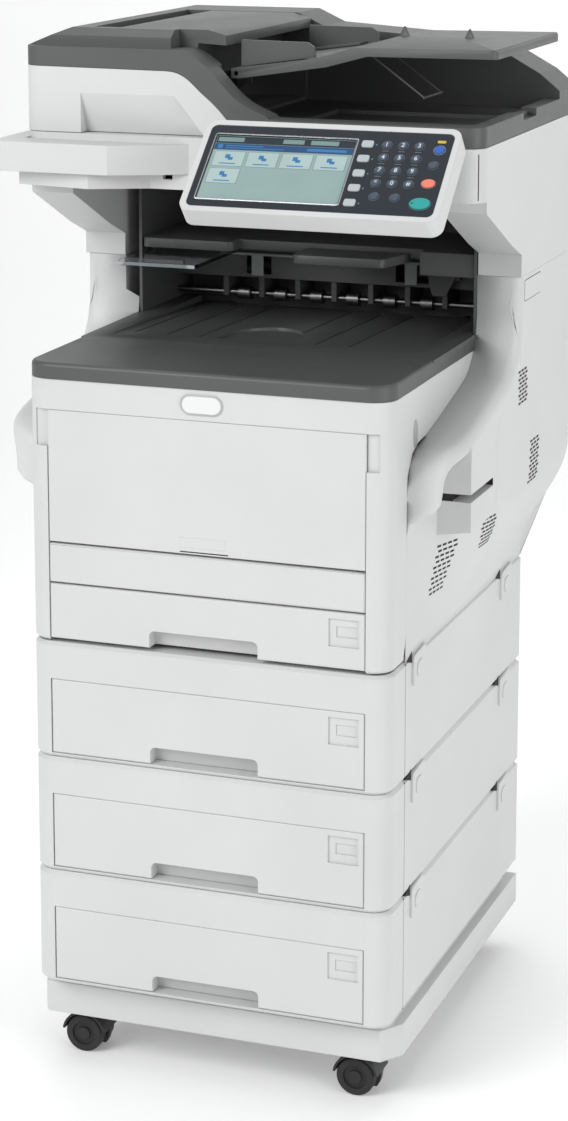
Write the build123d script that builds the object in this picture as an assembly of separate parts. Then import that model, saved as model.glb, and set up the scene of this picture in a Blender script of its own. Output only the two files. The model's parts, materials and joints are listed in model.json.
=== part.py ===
from build123d import *
import os
from math import cos, radians, sin, tan

# ---------------------------------------------------------------------------
# Driving dimensions, in millimetres.  X runs to the right, Y to the back and
# Z up.  While the sub-parts are drawn, x = 0 is the middle of the lower body,
# y = 0 the face of the drawers and z = 0 the floor.
# ---------------------------------------------------------------------------
GAP = 0.4                    # clearance between pieces that move apart
WALL = 3.0                   # plastic shell thickness

BODY_HALF = 226.0            # half width of the lower body
BODY_BACK = 573.0            # rear face of the lower body
PILLAR_X = 197.4             # inner edge of the rounded front pillars
PILLAR_R = 27.0              # radius of the front corners
SIDE_SEAM_Y = 63.7           # seam between front pillars and side covers

BASE_HALF = 227.5            # caster base
BASE_FRONT = 34.0
BASE_BOTTOM = 60.0
BASE_TOP = 100.0
BASE_CHAMFER_X = 20.0        # bevelled right front corner
BASE_CHAMFER_Y = 29.0
BASE_SMALL_CHAMFER = 4.0     # left front corner

UNIT_BOTTOM = 115.7          # underside of the lowest tray unit
UNIT_PITCH = 144.2           # height of one tray unit
UNIT_HEIGHT = 143.4
DRAWER_UP = 5.6              # drawer front above the underside of its unit
DRAWER_TALL = 92.0
TOP_DRAWER_Z = 552.8         # drawer of the main unit
TOP_DRAWER_TALL = 67.0
DRAWER_THICK = 22.0
HANDLE_LEFT = -70.0          # hand hole in the lower edge of each drawer front
HANDLE_RIGHT = 66.0
HANDLE_TALL = 21.0
CARD_LEFT = 153.0            # recess of the paper size card
CARD_RIGHT = 190.0
TRAY_HALF = 190.0            # paper tray behind the drawer front
TRAY_BACK = 455.0

MAIN_BOTTOM = 548.0
RIGHT_X = 281.5              # right side of the upper body
LEFT_X = -299.0              # left side of the upper body
COLUMN_WIDE = 55.0           # width of each column beside the output deck
MAIN_BACK = 604.0
COVER_TOP = 868.0            # top of the white front cover
COLUMN_TOP = 960.0           # seam between side covers and scanner housing
COLUMN_FRONT = 347.0
FLARE_LOW = 612.0            # the side covers flare out above this height
FLARE_HIGH = 682.0

FASCIA_LOW = 622.0
MP_LOW = 671.4               # fold-down multi-purpose tray
MP_HIGH = 830.9
MP_THICK = 16.0
MP_SWING_GAP = 2.4           # slot under the panel that lets it swing
COVER_HINGE_Y = 9.0          # front cover hinge
COVER_HINGE_Z = 562.0
COVER_PIN_R = 3.0
MP_HINGE_Y = 5.0
MP_HINGE_Z = 676.0
MP_PIN_R = 2.5

DECK_TOP = 887.0             # dark output deck
CREASE_Y = 165.0             # seam between front cap and output deck
CREASE_SIDE_Y = 118.0        # where the styling line of the cap meets its sides
GROOVE_HALF = 0.5
GROOVE_DEEP = 0.7
DECK_BACK = 492.0
DECK_DROP = 9.0              # fall of the deck towards the exit
DECK_PIN_R = 3.0
CAP_PROUD = 1.5              # the dark cap stands proud of the white front

SCAN_LOW = 1074.0            # scanner housing
SCAN_HIGH = 1137.4
SCAN_FRONT = 164.0
LID_LOW = 1138.2
LID_RIM = 1162.0             # low rim on the right of the lid
LID_HIGH = 1241.0            # front edge of the feeder
LID_TOP = 1262.5             # highest line of the feeder
LID_HINGE_Y = 600.0
LID_HINGE_Z = 1142.2
LID_BARREL_R = 3.8
LID_PIN_R = 2.0
LID_BARRELS = ((-200.0, -160.0), (140.0, 180.0))
WING_LEFT = -325.0
WING_FRONT = 122.0
WING_LOW = 1093.0
WING_HIGH = 1129.0

PANEL_LEFT = -32.0           # operator panel, measured on its dark face
PANEL_RIGHT = 263.0
PANEL_LOW_Y = 28.0
PANEL_LOW_Z = 1077.0
PANEL_SLANT = 123.0
PANEL_TILT = 42.0            # degrees from level
PANEL_RIM = 8.0
PANEL_DEEP = 26.0

CASTER_X = 178.0
CASTER_FRONT_Y = 80.0
CASTER_BACK_Y = 528.0
WHEEL_R = 24.0
CASTER_TRAIL = 10.0

ORIGIN_X = (WING_LEFT + RIGHT_X) / 2
ORIGIN_Y = (MAIN_BACK - CAP_PROUD) / 2


# ---------------------------------------------------------------------------
# Small helpers
# ---------------------------------------------------------------------------
def block(x0, x1, y0, y1, z0, z1):
    """A rectangular block from its two corners."""
    size = Box(x1 - x0, y1 - y0, z1 - z0)
    return Pos((x0 + x1) / 2, (y0 + y1) / 2, (z0 + z1) / 2) * size


def side_prism(points, x0, x1):
    """A polygon of (y, z) points, extruded along X."""
    face = Plane.YZ.offset(x0) * make_face(Polyline(*points, close=True))
    return extrude(face, x1 - x0)


def front_prism(points, y0, y1):
    """A polygon of (x, z) points, extruded along Y."""
    face = Plane.XZ.offset(-y1) * make_face(Polyline(*points, close=True))
    return extrude(face, y1 - y0)


def plan_prism(points, z0, z1):
    """A polygon of (x, y) points, extruded along Z."""
    face = Plane.XY.offset(z0) * make_face(Polyline(*points, close=True))
    return extrude(face, z1 - z0)


def rod_x(radius, x0, x1, y, z):
    return Pos((x0 + x1) / 2, y, z) * Rot(0, 90, 0) * Cylinder(radius, x1 - x0)


def rod_y(radius, y0, y1, x, z):
    return Pos(x, (y0 + y1) / 2, z) * Rot(90, 0, 0) * Cylinder(radius, y1 - y0)


def rod_z(radius, z0, z1, x, y):
    return Pos(x, y, (z0 + z1) / 2) * Cylinder(radius, z1 - z0)


def body_outline(half, front, back, radius):
    """Plan view of the lower body: square at the back, round at the front."""
    middle = (front + back) / 2
    sheet = Pos(0, middle) * Rectangle(2 * half, back - front)
    corners = sheet.vertices().sort_by(Axis.Y)[:2]
    return fillet(corners, radius)


def body_block(half, front, back, radius, z0, z1):
    return extrude(Plane.XY.offset(z0) * body_outline(half, front, back, radius), z1 - z0)


def main_solid(shape):
    """The largest solid of a shape, without loose faces left by a cut."""
    return Part() + shape.solids().sort_by(SortBy.VOLUME)[-1]


def spread(first, last, count):
    """Evenly spaced values, both ends included."""
    return [first + (last - first) * i / (count - 1) for i in range(count)]


# ---------------------------------------------------------------------------
# Caster base and casters
# ---------------------------------------------------------------------------
CASTERS = {
    "front_left": (-CASTER_X, CASTER_FRONT_Y),
    "front_right": (CASTER_X, CASTER_FRONT_Y),
    "rear_left": (-CASTER_X, CASTER_BACK_Y),
    "rear_right": (CASTER_X, CASTER_BACK_Y),
}
STEM_R = 5.5
STEM_TOP = 88.0
AXLE_R = 3.5
TYRE_WIDE = 17.0
WEB_HALF = 4.0
HOOD_IN = 25.5
HOOD_OUT = 28.5


def caster_base():
    half = BASE_HALF
    small = BASE_SMALL_CHAMFER
    outline = [
        (-half, BASE_FRONT + small),
        (-half + small, BASE_FRONT),
        (half - BASE_CHAMFER_X, BASE_FRONT),
        (half, BASE_FRONT + BASE_CHAMFER_Y),
        (half, BODY_BACK - 1),
        (-half, BODY_BACK - 1),
    ]
    plate = plan_prism(outline, BASE_BOTTOM, BASE_TOP)
    pocket = [
        (-half + 4, BASE_FRONT + 6),
        (-half + 6, BASE_FRONT + 4),
        (half - BASE_CHAMFER_X - 1, BASE_FRONT + 4),
        (half - 4, BASE_FRONT + BASE_CHAMFER_Y + 1),
        (half - 4, BODY_BACK - 5),
        (-half + 4, BODY_BACK - 5),
    ]
    plate -= plan_prism(pocket, BASE_BOTTOM - 1, BASE_TOP - 4)
    plinth = block(-half + 12, half - 12, BASE_FRONT + 4, BODY_BACK - 14, BASE_TOP, UNIT_BOTTOM)
    upright = plinth.edges().filter_by(Axis.Z)
    plate += fillet(upright, 18)
    plate -= block(-half + 16, half - 16, BASE_FRONT + 12, BODY_BACK - 18, BASE_TOP - 5, UNIT_BOTTOM - WALL)
    for x, y in CASTERS.values():
        plate += block(x - 30, x + 30, y - 30, y + 30, BASE_BOTTOM, BASE_TOP)
    for y in (BASE_FRONT + 170, BASE_FRONT + 350):
        plate += block(-half + 3, half - 3, y, y + 4, BASE_BOTTOM + 4, BASE_TOP)
    for x, y in CASTERS.values():
        plate -= rod_z(STEM_R + 0.05, BASE_BOTTOM - 1, STEM_TOP + 1, x, y)
    return plate


def caster_fork(x, y):
    """Twin-wheel caster housing: stem, hood and the web between the wheels."""
    centre_x = x - CASTER_TRAIL
    width = WEB_HALF + TYRE_WIDE + 1
    hood = rod_y(HOOD_OUT, y - width, y + width, centre_x, WHEEL_R)
    hood -= rod_y(HOOD_IN, y - width - 1, y + width + 1, centre_x, WHEEL_R)
    hood -= block(centre_x - 40, centre_x + 40, y - 40, y + 40, -20, WHEEL_R + 4)
    web = rod_y(HOOD_OUT - 1, y - WEB_HALF, y + WEB_HALF, centre_x, WHEEL_R)
    web -= block(centre_x - 40, centre_x + 40, y - 40, y + 40, -20, 8)
    neck = block(x - 15, x + 12, y - 12, y + 12, WHEEL_R + HOOD_IN + 0.5, BASE_BOTTOM - GAP)
    stem = rod_z(STEM_R, WHEEL_R + HOOD_OUT - 2, STEM_TOP, x, y)
    fork = hood + web + neck + stem
    return fork - rod_y(AXLE_R + 0.05, y - 40, y + 40, centre_x, WHEEL_R)


def caster_wheels(x, y):
    """Both wheels of one caster on their common axle."""
    centre_x = x - CASTER_TRAIL
    pair = rod_y(AXLE_R, y - 20, y + 20, centre_x, WHEEL_R)
    for side in (-1, 1):
        near = y + side * (WEB_HALF + GAP)
        far = near + side * TYRE_WIDE
        tyre = rod_y(WHEEL_R, min(near, far), max(near, far), centre_x, WHEEL_R)
        rims = tyre.edges().filter_by(GeomType.CIRCLE)
        tyre = fillet(rims, 3)
        dish = rod_y(15, far - 2.5, far + 2.5, centre_x, WHEEL_R)
        pair += tyre - dish
        hub = rod_y(8, min(far, far - side * 4), max(far, far - side * 4), centre_x, WHEEL_R)
        pair += hub
    return pair


# ---------------------------------------------------------------------------
# Stacked tray units and drawers
# ---------------------------------------------------------------------------
def unit_floor(number):
    """Underside of tray unit 2, 3 or 4, counted from the top."""
    return UNIT_BOTTOM + (4 - number) * UNIT_PITCH


def drawer_span(number):
    """Bottom and top of the front of one drawer."""
    if number == 1:
        return TOP_DRAWER_Z, TOP_DRAWER_Z + TOP_DRAWER_TALL
    low = unit_floor(number) + DRAWER_UP
    return low, low + DRAWER_TALL


RAIL_UP = 24.0               # tray rails above the drawer's lower edge
RAIL_TALL = 5.0
RAIL_IN = 192.0


def tray_housing(number):
    low = unit_floor(number)
    high = low + UNIT_HEIGHT
    shell = body_block(BODY_HALF, 0, BODY_BACK, PILLAR_R, low, high)
    shell = chamfer(shell.faces().sort_by(Axis.Z)[0].edges(), 4)
    shell = chamfer(shell.faces().sort_by(Axis.Z)[-1].edges(), 4)
    inside = BODY_HALF - WALL
    shell -= block(-inside, inside, PILLAR_R + 4, BODY_BACK - WALL, low + WALL, high - WALL)
    bottom, top = drawer_span(number)
    mouth = PILLAR_X + GAP
    shell -= block(-mouth, mouth, -1, PILLAR_R + 5, bottom - GAP, top + GAP)
    shell -= block(-mouth + 4, mouth - 4, WALL + 1, PILLAR_R + 5, top + 4, high - 6)
    for side in (-1, 1):
        outer = side * (PILLAR_X + 2.5)
        skin = side * (BODY_HALF - WALL)
        shell -= block(min(outer, skin), max(outer, skin), PILLAR_R - 4, PILLAR_R + 5, low + 8, high - 8)
        rail = (side * RAIL_IN, side * (inside + 1))
        rail_z = bottom + RAIL_UP
        shell += block(min(rail), max(rail), PILLAR_R + 8, BODY_BACK - WALL - 1, rail_z, rail_z + RAIL_TALL)
    return shell


def drawer_front(number):
    low, high = drawer_span(number)
    half = PILLAR_X - GAP
    panel = block(-half, half, 0, DRAWER_THICK, low, high)
    front = panel.faces().sort_by(Axis.Y)[0]
    panel = fillet(front.edges(), 2.5)
    panel -= block(-half + WALL, half - WALL, WALL + 1, DRAWER_THICK + 1, low + 26, high - WALL)
    hole = block(HANDLE_LEFT, HANDLE_RIGHT, -1, DRAWER_THICK - WALL, low - 1, low + HANDLE_TALL)
    top_edges = hole.edges().filter_by(Axis.Y).sort_by(Axis.Z)[-2:]
    panel -= fillet(top_edges, 7)
    card = block(CARD_LEFT, CARD_RIGHT, -1, 2.2, high - 41, high - 8)
    panel -= card
    panel -= block(CARD_LEFT + 9, CARD_RIGHT - 3, -1, 3.4, high - 30, high - 17)
    return panel


def paper_tray(number):
    """Open-topped paper box that hangs on two side flanges."""
    low = drawer_span(number)[0]
    floor = low + 3
    rim = low + RAIL_UP + RAIL_TALL + 30
    tray = block(-TRAY_HALF, TRAY_HALF, DRAWER_THICK, TRAY_BACK, floor, rim)
    inner = TRAY_HALF - 2.5
    tray -= block(-inner, inner, DRAWER_THICK + 2.5, TRAY_BACK - 2.5, floor + 2.5, rim + 1)
    flange_z = low + RAIL_UP + RAIL_TALL + GAP
    for side in (-1, 1):
        ends = (side * (TRAY_HALF - 1), side * (PILLAR_X - 2 * GAP))
        tray += block(min(ends), max(ends), DRAWER_THICK, TRAY_BACK, flange_z, flange_z + 3)
    for side in (-1, 1):
        tray += block(side * 150 - 1.5, side * 150 + 1.5, 130, 330, floor + 2, rim - 6)
    tray += block(-60, 60, 398, 401, floor + 2, rim - 6)
    return tray


# ---------------------------------------------------------------------------
# Main unit: frame, covers and what is inside
# ---------------------------------------------------------------------------
FRAME_HALF = 206.0
FRAME_TOP = 862.0
DRUM_Z = 768.0               # image drums
BELT_Z = 740.5               # transfer belt
BASKET_LOW = 756.0           # underside of the drum basket's flanges
FUSER_LOW = 750.0


def frame_ledge(inner, outer, y0, y1, z0, z1):
    """The same ledge on both side plates of the chassis."""
    right = block(inner, outer, y0, y1, z0, z1)
    return right + block(-outer, -inner, y0, y1, z0, z1)


def main_frame():
    """Sheet-metal chassis: side plates, a back plate, shelves and ledges."""
    drawer_low, drawer_high = drawer_span(1)
    side_in = FRAME_HALF - 2.5
    frame = block(-FRAME_HALF, FRAME_HALF, 552, 555, MAIN_BOTTOM, FRAME_TOP)
    frame += block(-FRAME_HALF, FRAME_HALF, 32, 553, drawer_high + 4, drawer_high + 6.5)
    frame += block(-FRAME_HALF, FRAME_HALF, 422, 553, FUSER_LOW - 2.9, FUSER_LOW - GAP)
    frame += block(-220, 220, 70, 555, MAIN_BOTTOM, MAIN_BOTTOM + 2)
    frame += frame_ledge(side_in, FRAME_HALF, 70, 553, MAIN_BOTTOM, FRAME_TOP)
    rail_z = drawer_low + RAIL_UP
    frame += frame_ledge(RAIL_IN, FRAME_HALF - 1, 75, 550, rail_z, rail_z + RAIL_TALL)
    frame += frame_ledge(side_in - 1, 214, 70, 78, MAIN_BOTTOM + 1, MAIN_BOTTOM + 40)
    frame += frame_ledge(176, side_in + 1, 92, 418, BELT_Z - 8, BELT_Z - 4 - GAP)
    frame += frame_ledge(174, side_in + 1, 100, 400, BASKET_LOW - 4, BASKET_LOW)
    frame += frame_ledge(207.5, 210.5, 7, 71, COVER_HINGE_Z - 1, COVER_HINGE_Z + 10)
    frame += frame_ledge(side_in, 209, 68, 72, MAIN_BOTTOM + 5, COVER_HINGE_Z + 10)
    frame += front_hinge_pins()
    return frame


def front_fascia():
    """Fixed white strip between the top drawer and the multi-purpose tray."""
    half = PILLAR_X - GAP
    strip = block(-half, half, 0, 30, FASCIA_LOW, MP_LOW - MP_SWING_GAP)
    strip = fillet(strip.faces().sort_by(Axis.Y)[0].edges(), 2)
    strip -= block(-half + WALL, half - WALL, WALL, 31, FASCIA_LOW + 8, MP_LOW - 6)
    return strip


def swoosh_profile(inset):
    """Side view of a side cover: seam, swoosh, column, back and heel."""
    front = SIDE_SEAM_Y + GAP + inset
    low = MAIN_BOTTOM + inset
    back = MAIN_BACK - inset
    foot = BODY_BACK - inset
    top = COLUMN_TOP - GAP - inset
    col = COLUMN_FRONT + inset
    points = [
        (front, low),
        (front, 742),
        (front + 4, 768 - inset),
        (front + 12, 781 - inset),
        (front + 26, 788 - inset),
        (front + 62, 794 - inset),
        (front + 110, 799 - inset),
        (col - 90, 808 - inset),
        (col - 36, 817 - inset),
        (col - 12, 832 - inset),
        (col - 2, 855),
        (col, 880),
        (col, top),
        (back, top),
        (back, 656),
        (back - 10, 634),
        (foot, 606),
        (foot, low),
    ]
    return make_face(Polyline(*points, close=True))


def flare_plan(outer, inset, near):
    """Plan view of the flare, from the pillar seam out to the full width."""
    reach = outer - inset
    start = BODY_HALF - inset * 1.2
    front = SIDE_SEAM_Y
    back = MAIN_BACK + 1
    points = [
        (near, front),
        (start, front),
        (start + 0.56 * (reach - start), front + 36),
        (start + 0.9 * (reach - start), front + 72),
        (reach, front + 120),
        (reach, back),
        (near, back),
    ]
    return make_face(Polyline(*points, close=True))


def flare_section(outer, inset, near):
    """Front view of the flare: narrow at the foot, full width above."""
    reach = outer - inset
    start = BODY_HALF - inset * 1.2
    low = MAIN_BOTTOM - 1
    high = COLUMN_TOP + 1
    third = (FLARE_HIGH - FLARE_LOW) / 3
    points = [
        (near, low),
        (start, low),
        (start, FLARE_LOW),
        (start + 0.22 * (reach - start), FLARE_LOW + third),
        (start + 0.78 * (reach - start), FLARE_HIGH - third),
        (reach, FLARE_HIGH),
        (reach, high),
        (near, high),
    ]
    return make_face(Polyline(*points, close=True))


def cover_body(outer, inset, near):
    """Outer form of a side cover, or its hollow when inset is set."""
    form = extrude(Plane.YZ.offset(near) * swoosh_profile(inset), 140)
    form &= extrude(Plane.XY.offset(MAIN_BOTTOM - 1) * flare_plan(outer, inset, near), 500)
    return main_solid(form & extrude(Plane.XZ.offset(-700) * flare_section(outer, inset, near), 700))


def side_cover(outer, with_grip):
    """Side cover, drawn on the right; the left one is mirrored."""
    inside = BODY_HALF - WALL
    column_in = outer - COLUMN_WIDE
    cover = main_solid(cover_body(outer, 0, inside) - cover_body(outer, WALL, inside - 20))
    if column_in > inside:
        beside_deck = block(inside - 1, column_in, COLUMN_FRONT - 60, 700, COVER_TOP - GAP, 1000)
        cover = main_solid(cover - beside_deck)
    front = COLUMN_FRONT + 0.5
    cover += block(column_in - 0.4, column_in + WALL, front, MAIN_BACK - 1, 800, COLUMN_TOP - 1)
    cover += block(inside + 0.2, column_in + WALL - 0.5, front, 560, COVER_TOP - 4, COVER_TOP - 0.6)
    cover += upper_side_panel()
    if with_grip:
        cover -= grip_pocket()
        cover += grip_liner(outer)
    return cover - vent_slots()


def upper_side_panel():
    """Flat panel between the front cover's side and the column."""
    front = CREASE_SIDE_Y + 17
    outline = [
        (front, 784),
        (COLUMN_FRONT - 60, 800),
        (COLUMN_FRONT + 12, 826),
        (COLUMN_FRONT + 12, COVER_TOP - GAP),
        (front, COVER_TOP - GAP),
    ]
    return side_prism(outline, BODY_HALF - 5, BODY_HALF - 1)


GRIP_FRONT = 112.0           # hand grip on the right side
GRIP_BACK = 270.0
GRIP_LOW = 678.0
GRIP_HIGH = 771.0


def grip_pocket():
    outline = [
        (GRIP_FRONT, GRIP_LOW),
        (GRIP_BACK, GRIP_LOW + 8),
        (GRIP_BACK, GRIP_HIGH),
        (GRIP_FRONT, GRIP_HIGH - 4),
    ]
    return side_prism(outline, BODY_HALF + 16, 320)


def grip_liner(outer):
    """Dished pocket of the side grip with a ledge across it."""
    tub = block(BODY_HALF + 10, outer, GRIP_FRONT - 2, GRIP_BACK + 2, GRIP_LOW - 2, GRIP_HIGH + 2)
    tub -= block(BODY_HALF + 13, outer + 1, GRIP_FRONT + 1, GRIP_BACK - 1, GRIP_LOW + 9, GRIP_HIGH - 4)
    tub += block(BODY_HALF + 12, BODY_HALF + 30, GRIP_FRONT + 20, GRIP_BACK, 706, 712)
    outside = block(180, 320, 90, 300, GRIP_LOW - 10, GRIP_HIGH + 10) - cover_body(outer, 0.2, 181)
    return tub - outside


def vent_slots():
    """Groups of cooling slots low on the side and high at the back."""
    slots = None
    groups = [(375, 410, 778, 804, 5), (432, 474, 672, 708, 7), (240, 300, 636, 668, 6)]
    for y0, y1, z0, z1, rows in groups:
        for z in spread(z0, z1, rows):
            slot = block(BODY_HALF + 24, 320, y0, y1, z - 1.3, z + 1.3)
            slots = slot if slots is None else slots + slot
    return slots


def rear_cover():
    """Back of the main unit with a mains inlet recess and vent slots."""
    half = BODY_HALF - WALL - GAP
    upper = block(-half, half, MAIN_BACK - WALL, MAIN_BACK, 655, COLUMN_TOP - GAP)
    lower = block(-half, half, BODY_BACK - WALL, BODY_BACK, MAIN_BOTTOM, 610)
    ramp = side_prism(
        [(BODY_BACK - WALL, 609), (BODY_BACK, 609), (MAIN_BACK, 655), (MAIN_BACK - WALL, 656)],
        -half,
        half,
    )
    cover = upper + lower + ramp
    for z in spread(712, 790, 14):
        cover -= block(-120, 120, MAIN_BACK - 10, MAIN_BACK + 1, z - 1.2, z + 1.2)
    cover -= block(150, 178, BODY_BACK - 10, BODY_BACK + 1, 566, 586)
    cover += mains_inlet()
    return cover


def mains_inlet():
    shroud = block(147, 181, BODY_BACK - 18, BODY_BACK - 1, 563, 589)
    shroud -= block(150, 178, BODY_BACK - 15, BODY_BACK + 1, 566, 586)
    for x, z in ((157, 574), (171, 574), (164, 580)):
        shroud += block(x - 1, x + 1, BODY_BACK - 16, BODY_BACK - 5, z - 2, z + 2)
    return shroud


def front_cover():
    """Hinged white front: two legs, a top panel and short side walls."""
    low = MAIN_BOTTOM + 2
    high = COVER_TOP - GAP
    back = CREASE_SIDE_Y + 16
    half = BODY_HALF
    shell = body_block(half, 0, back, PILLAR_R, low, high)
    shell = chamfer(shell.faces().sort_by(Axis.Z)[0].edges(), 3)
    shell -= body_block(half - WALL, WALL, back + 20, PILLAR_R - WALL, low - 1, high + 1)
    notch = [
        (SIDE_SEAM_Y - 8, low - 10),
        (SIDE_SEAM_Y - 8, low + 8),
        (SIDE_SEAM_Y, low + 30),
        (SIDE_SEAM_Y, 742),
        (SIDE_SEAM_Y + 2, 770),
        (SIDE_SEAM_Y + 20, 793),
        (back - 30, 801),
        (back + 1, 804),
        (back + 1, low - 10),
    ]
    shell -= side_prism(notch, -half - 10, half + 10)
    lip = PILLAR_X + GAP
    shell -= block(-lip, lip, -1, 200, low - 10, MP_HIGH + GAP)
    shell += frame_ledge(lip, lip + WALL, 1.5, 30, low + 3, MP_HIGH + 12)
    shell += frame_ledge(lip, half - WALL / 2, 22, 25, low + 45, MP_HIGH + 12)
    shell -= frame_ledge(lip - 1, PILLAR_X + 15, -1, 16, MP_HIGH - 44, MP_HIGH + GAP)
    shell += frame_ledge(lip + 1, lip + 9, 1.5, 15, COVER_HINGE_Z - 6, COVER_HINGE_Z + 6)
    shell -= rod_x(COVER_PIN_R + 0.05, lip - 1, lip + 12, COVER_HINGE_Y, COVER_HINGE_Z)
    shell -= rod_x(COVER_PIN_R + 0.05, -lip - 12, -lip + 1, COVER_HINGE_Y, COVER_HINGE_Z)
    shell += block(-lip - 2, lip + 2, 1, 24, MP_HIGH + GAP, MP_HIGH + GAP + WALL)
    shell += emblem()
    shell -= rod_x(MP_PIN_R + 0.05, -lip - WALL - 1, lip + WALL + 1, MP_HINGE_Y, MP_HINGE_Z)
    return shell - button_pocket()


def emblem():
    """Plain raised pill, with nothing on it."""
    pill = Plane.XZ.offset(0) * (Pos(-2, 850) * SlotOverall(52, 24))
    return extrude(pill, 1.2) + extrude(pill, -2)


BUTTON_Y = 94.5
BUTTON_Z = 813.5


def button_pocket():
    sheet = Plane.YZ.offset(BODY_HALF - 8) * (Pos(BUTTON_Y, BUTTON_Z) * Ellipse(9 + GAP, 17 + GAP))
    return extrude(sheet, 20)


def tray_open_button():
    """Oval push button in the right side of the front cover."""
    sheet = Plane.YZ.offset(BODY_HALF - 7) * (Pos(BUTTON_Y, BUTTON_Z) * Ellipse(9, 17))
    button = extrude(sheet, 7.6)
    stop = Plane.YZ.offset(BODY_HALF - 7) * (Pos(BUTTON_Y, BUTTON_Z) * Ellipse(12, 20))
    return button + extrude(stop, 3.6)


def cap_outline():
    """Plan view of the dark cap along the front of the deck."""
    half = BODY_HALF
    front = -CAP_PROUD
    back = CREASE_Y - GAP
    corner = PILLAR_R + 3
    edge = Line((-half + corner, front), (half - corner, front))
    edge += TangentArc((half - corner, front), (half, front + corner), tangent=(1, 0))
    edge += Polyline((half, front + corner), (half, back), (-half, back), (-half, front + corner))
    edge += TangentArc((-half, front + corner), (-half + corner, front), tangent=(0, -1))
    return make_face(edge)


def shoulder_line(shift):
    """Curve from the right side of the cap to the straight part of the seam."""
    side = CREASE_SIDE_Y + shift
    points = ((BODY_HALF, side), (198, side + 32), (165, CREASE_Y + shift))
    return Spline(*points, tangents=((-1, 0.8), (-1, 0.1)))


def shoulder_grooves():
    """Shallow lines that carry the seam forward over both shoulders of the cap."""
    near = shoulder_line(-GROOVE_HALF)
    far = shoulder_line(GROOVE_HALF)
    edge = near + Line(near @ 1, far @ 1) + far + Line(far @ 0, near @ 0)
    groove = extrude(Plane.XY.offset(DECK_TOP - GROOVE_DEEP) * make_face(edge), GROOVE_DEEP + 1)
    return groove + mirror(groove, Plane.YZ)


def front_cover_cap():
    """Dark front strip of the output deck, carried by the front cover."""
    cap = extrude(Plane.XY.offset(COVER_TOP) * cap_outline(), DECK_TOP - COVER_TOP)
    rim = cap.faces().sort_by(Axis.Z)[-1].edges().sort_by(Axis.Y)[:5]
    cap = fillet(rim, 5)
    inside = body_block(BODY_HALF - WALL, 2, CREASE_Y - 4, PILLAR_R, COVER_TOP - 1, DECK_TOP - WALL)
    return cap - inside - shoulder_grooves()


def mp_tray():
    """Fold-down panel of the multi-purpose tray, on two hinge pins."""
    half = PILLAR_X - GAP
    panel = block(-half, half, 0, MP_THICK, MP_LOW, MP_HIGH)
    panel = fillet(panel.faces().sort_by(Axis.Y)[0].edges(), 2)
    panel -= block(-half + 5, half - 5, 4, MP_THICK + 1, MP_LOW + 22, MP_HIGH - 5)
    for x in spread(-150, 150, 5):
        panel += block(x - 1.2, x + 1.2, 3.5, MP_THICK - 3, MP_LOW + 21, MP_HIGH - 4)
    pin_tip = PILLAR_X + GAP + WALL - 0.4
    return panel + rod_x(MP_PIN_R, -pin_tip, pin_tip, MP_HINGE_Y, MP_HINGE_Z)


def front_hinge_pins():
    """Two pins on the chassis that carry the front cover."""
    right = rod_x(COVER_PIN_R, PILLAR_X + 2, 210, COVER_HINGE_Y, COVER_HINGE_Z)
    return right + rod_x(COVER_PIN_R, -210, -PILLAR_X - 2, COVER_HINGE_Y, COVER_HINGE_Z)


# ---------------------------------------------------------------------------
# Print engine
# ---------------------------------------------------------------------------
def fuser_unit():
    """Heated roller pair in its case, behind the drums."""
    case = block(-180, 180, 430, 530, FUSER_LOW, 815)
    case -= block(-172, 172, 440, 531, FUSER_LOW + 8, 806)
    hot = rod_x(15, -172.5, 172.5, 485, 790)
    press = rod_x(7.9, -172.5, 172.5, 485, 766.6)
    handles = block(-150, -120, 470, 500, 815, 832) + block(120, 150, 470, 500, 815, 832)
    return case + hot + press + handles


def image_units():
    """Four drum and toner units in a row, front to back."""
    units = None
    for y in spread(130, 370, 4):
        drum = rod_x(15, -165, 165, y, DRUM_Z)
        toner = block(-160, 160, y - 24, y + 24, DRUM_Z + 12, DRUM_Z + 34)
        toner = fillet(toner.edges().filter_by(Axis.X), 8)
        unit = drum + toner
        units = unit if units is None else units + unit
    for side in (-1, 1):
        wall = (side * 160, side * 172)
        units += block(min(wall), max(wall), 100, 400, BASKET_LOW + GAP, 790)
        flange = (side * 171, side * 190)
        units += block(min(flange), max(flange), 100, 400, BASKET_LOW + GAP, BASKET_LOW + 3)
    return units


def transfer_belt_unit():
    """Flat loop of belt on two rollers, under the drums."""
    z = BELT_Z
    loop = block(-165, 165, 100, 410, z - 12, z + 12)
    loop += rod_x(12, -165, 165, 100, z) + rod_x(12, -165, 165, 410, z)
    loop -= block(-166, 166, 100, 410, z - 10, z + 10)
    loop -= rod_x(10, -166, 166, 100, z) + rod_x(10, -166, 166, 410, z)
    for y in (100, 410):
        loop += rod_x(10.2, -165, 165, y, z) + rod_x(4, -186, 186, y, z)
    for side in (-1, 1):
        plate = (side * 166, side * 170)
        loop += block(min(plate), max(plate), 96, 414, z - 9, z + 9)
    return loop


# ---------------------------------------------------------------------------
# Output deck, exit and shelf
# ---------------------------------------------------------------------------
EXIT_Y = 470.0
EXIT_Z = 898.0
RIB_HALF = 3.5               # half width of the ribs that guide the sheets out


CHEEK_IN = 221.0             # inner faces of the dark cheeks beside the exit
CHEEK_OUT = 225.0


def deck_height(y):
    """Height of the sloping deck at a distance y."""
    start = CREASE_Y + 18
    return DECK_TOP - DECK_DROP * (y - start) / (DECK_BACK - start)


def deck_cut(y0, y1, x0, x1, depth):
    """Cutter that follows the slope of the deck at a given depth."""
    points = [
        (y0, deck_height(y0) - depth),
        (y1, deck_height(y1) - depth),
        (y1, DECK_TOP + 5),
        (y0, DECK_TOP + 5),
    ]
    return side_prism(points, x0, x1)


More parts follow.
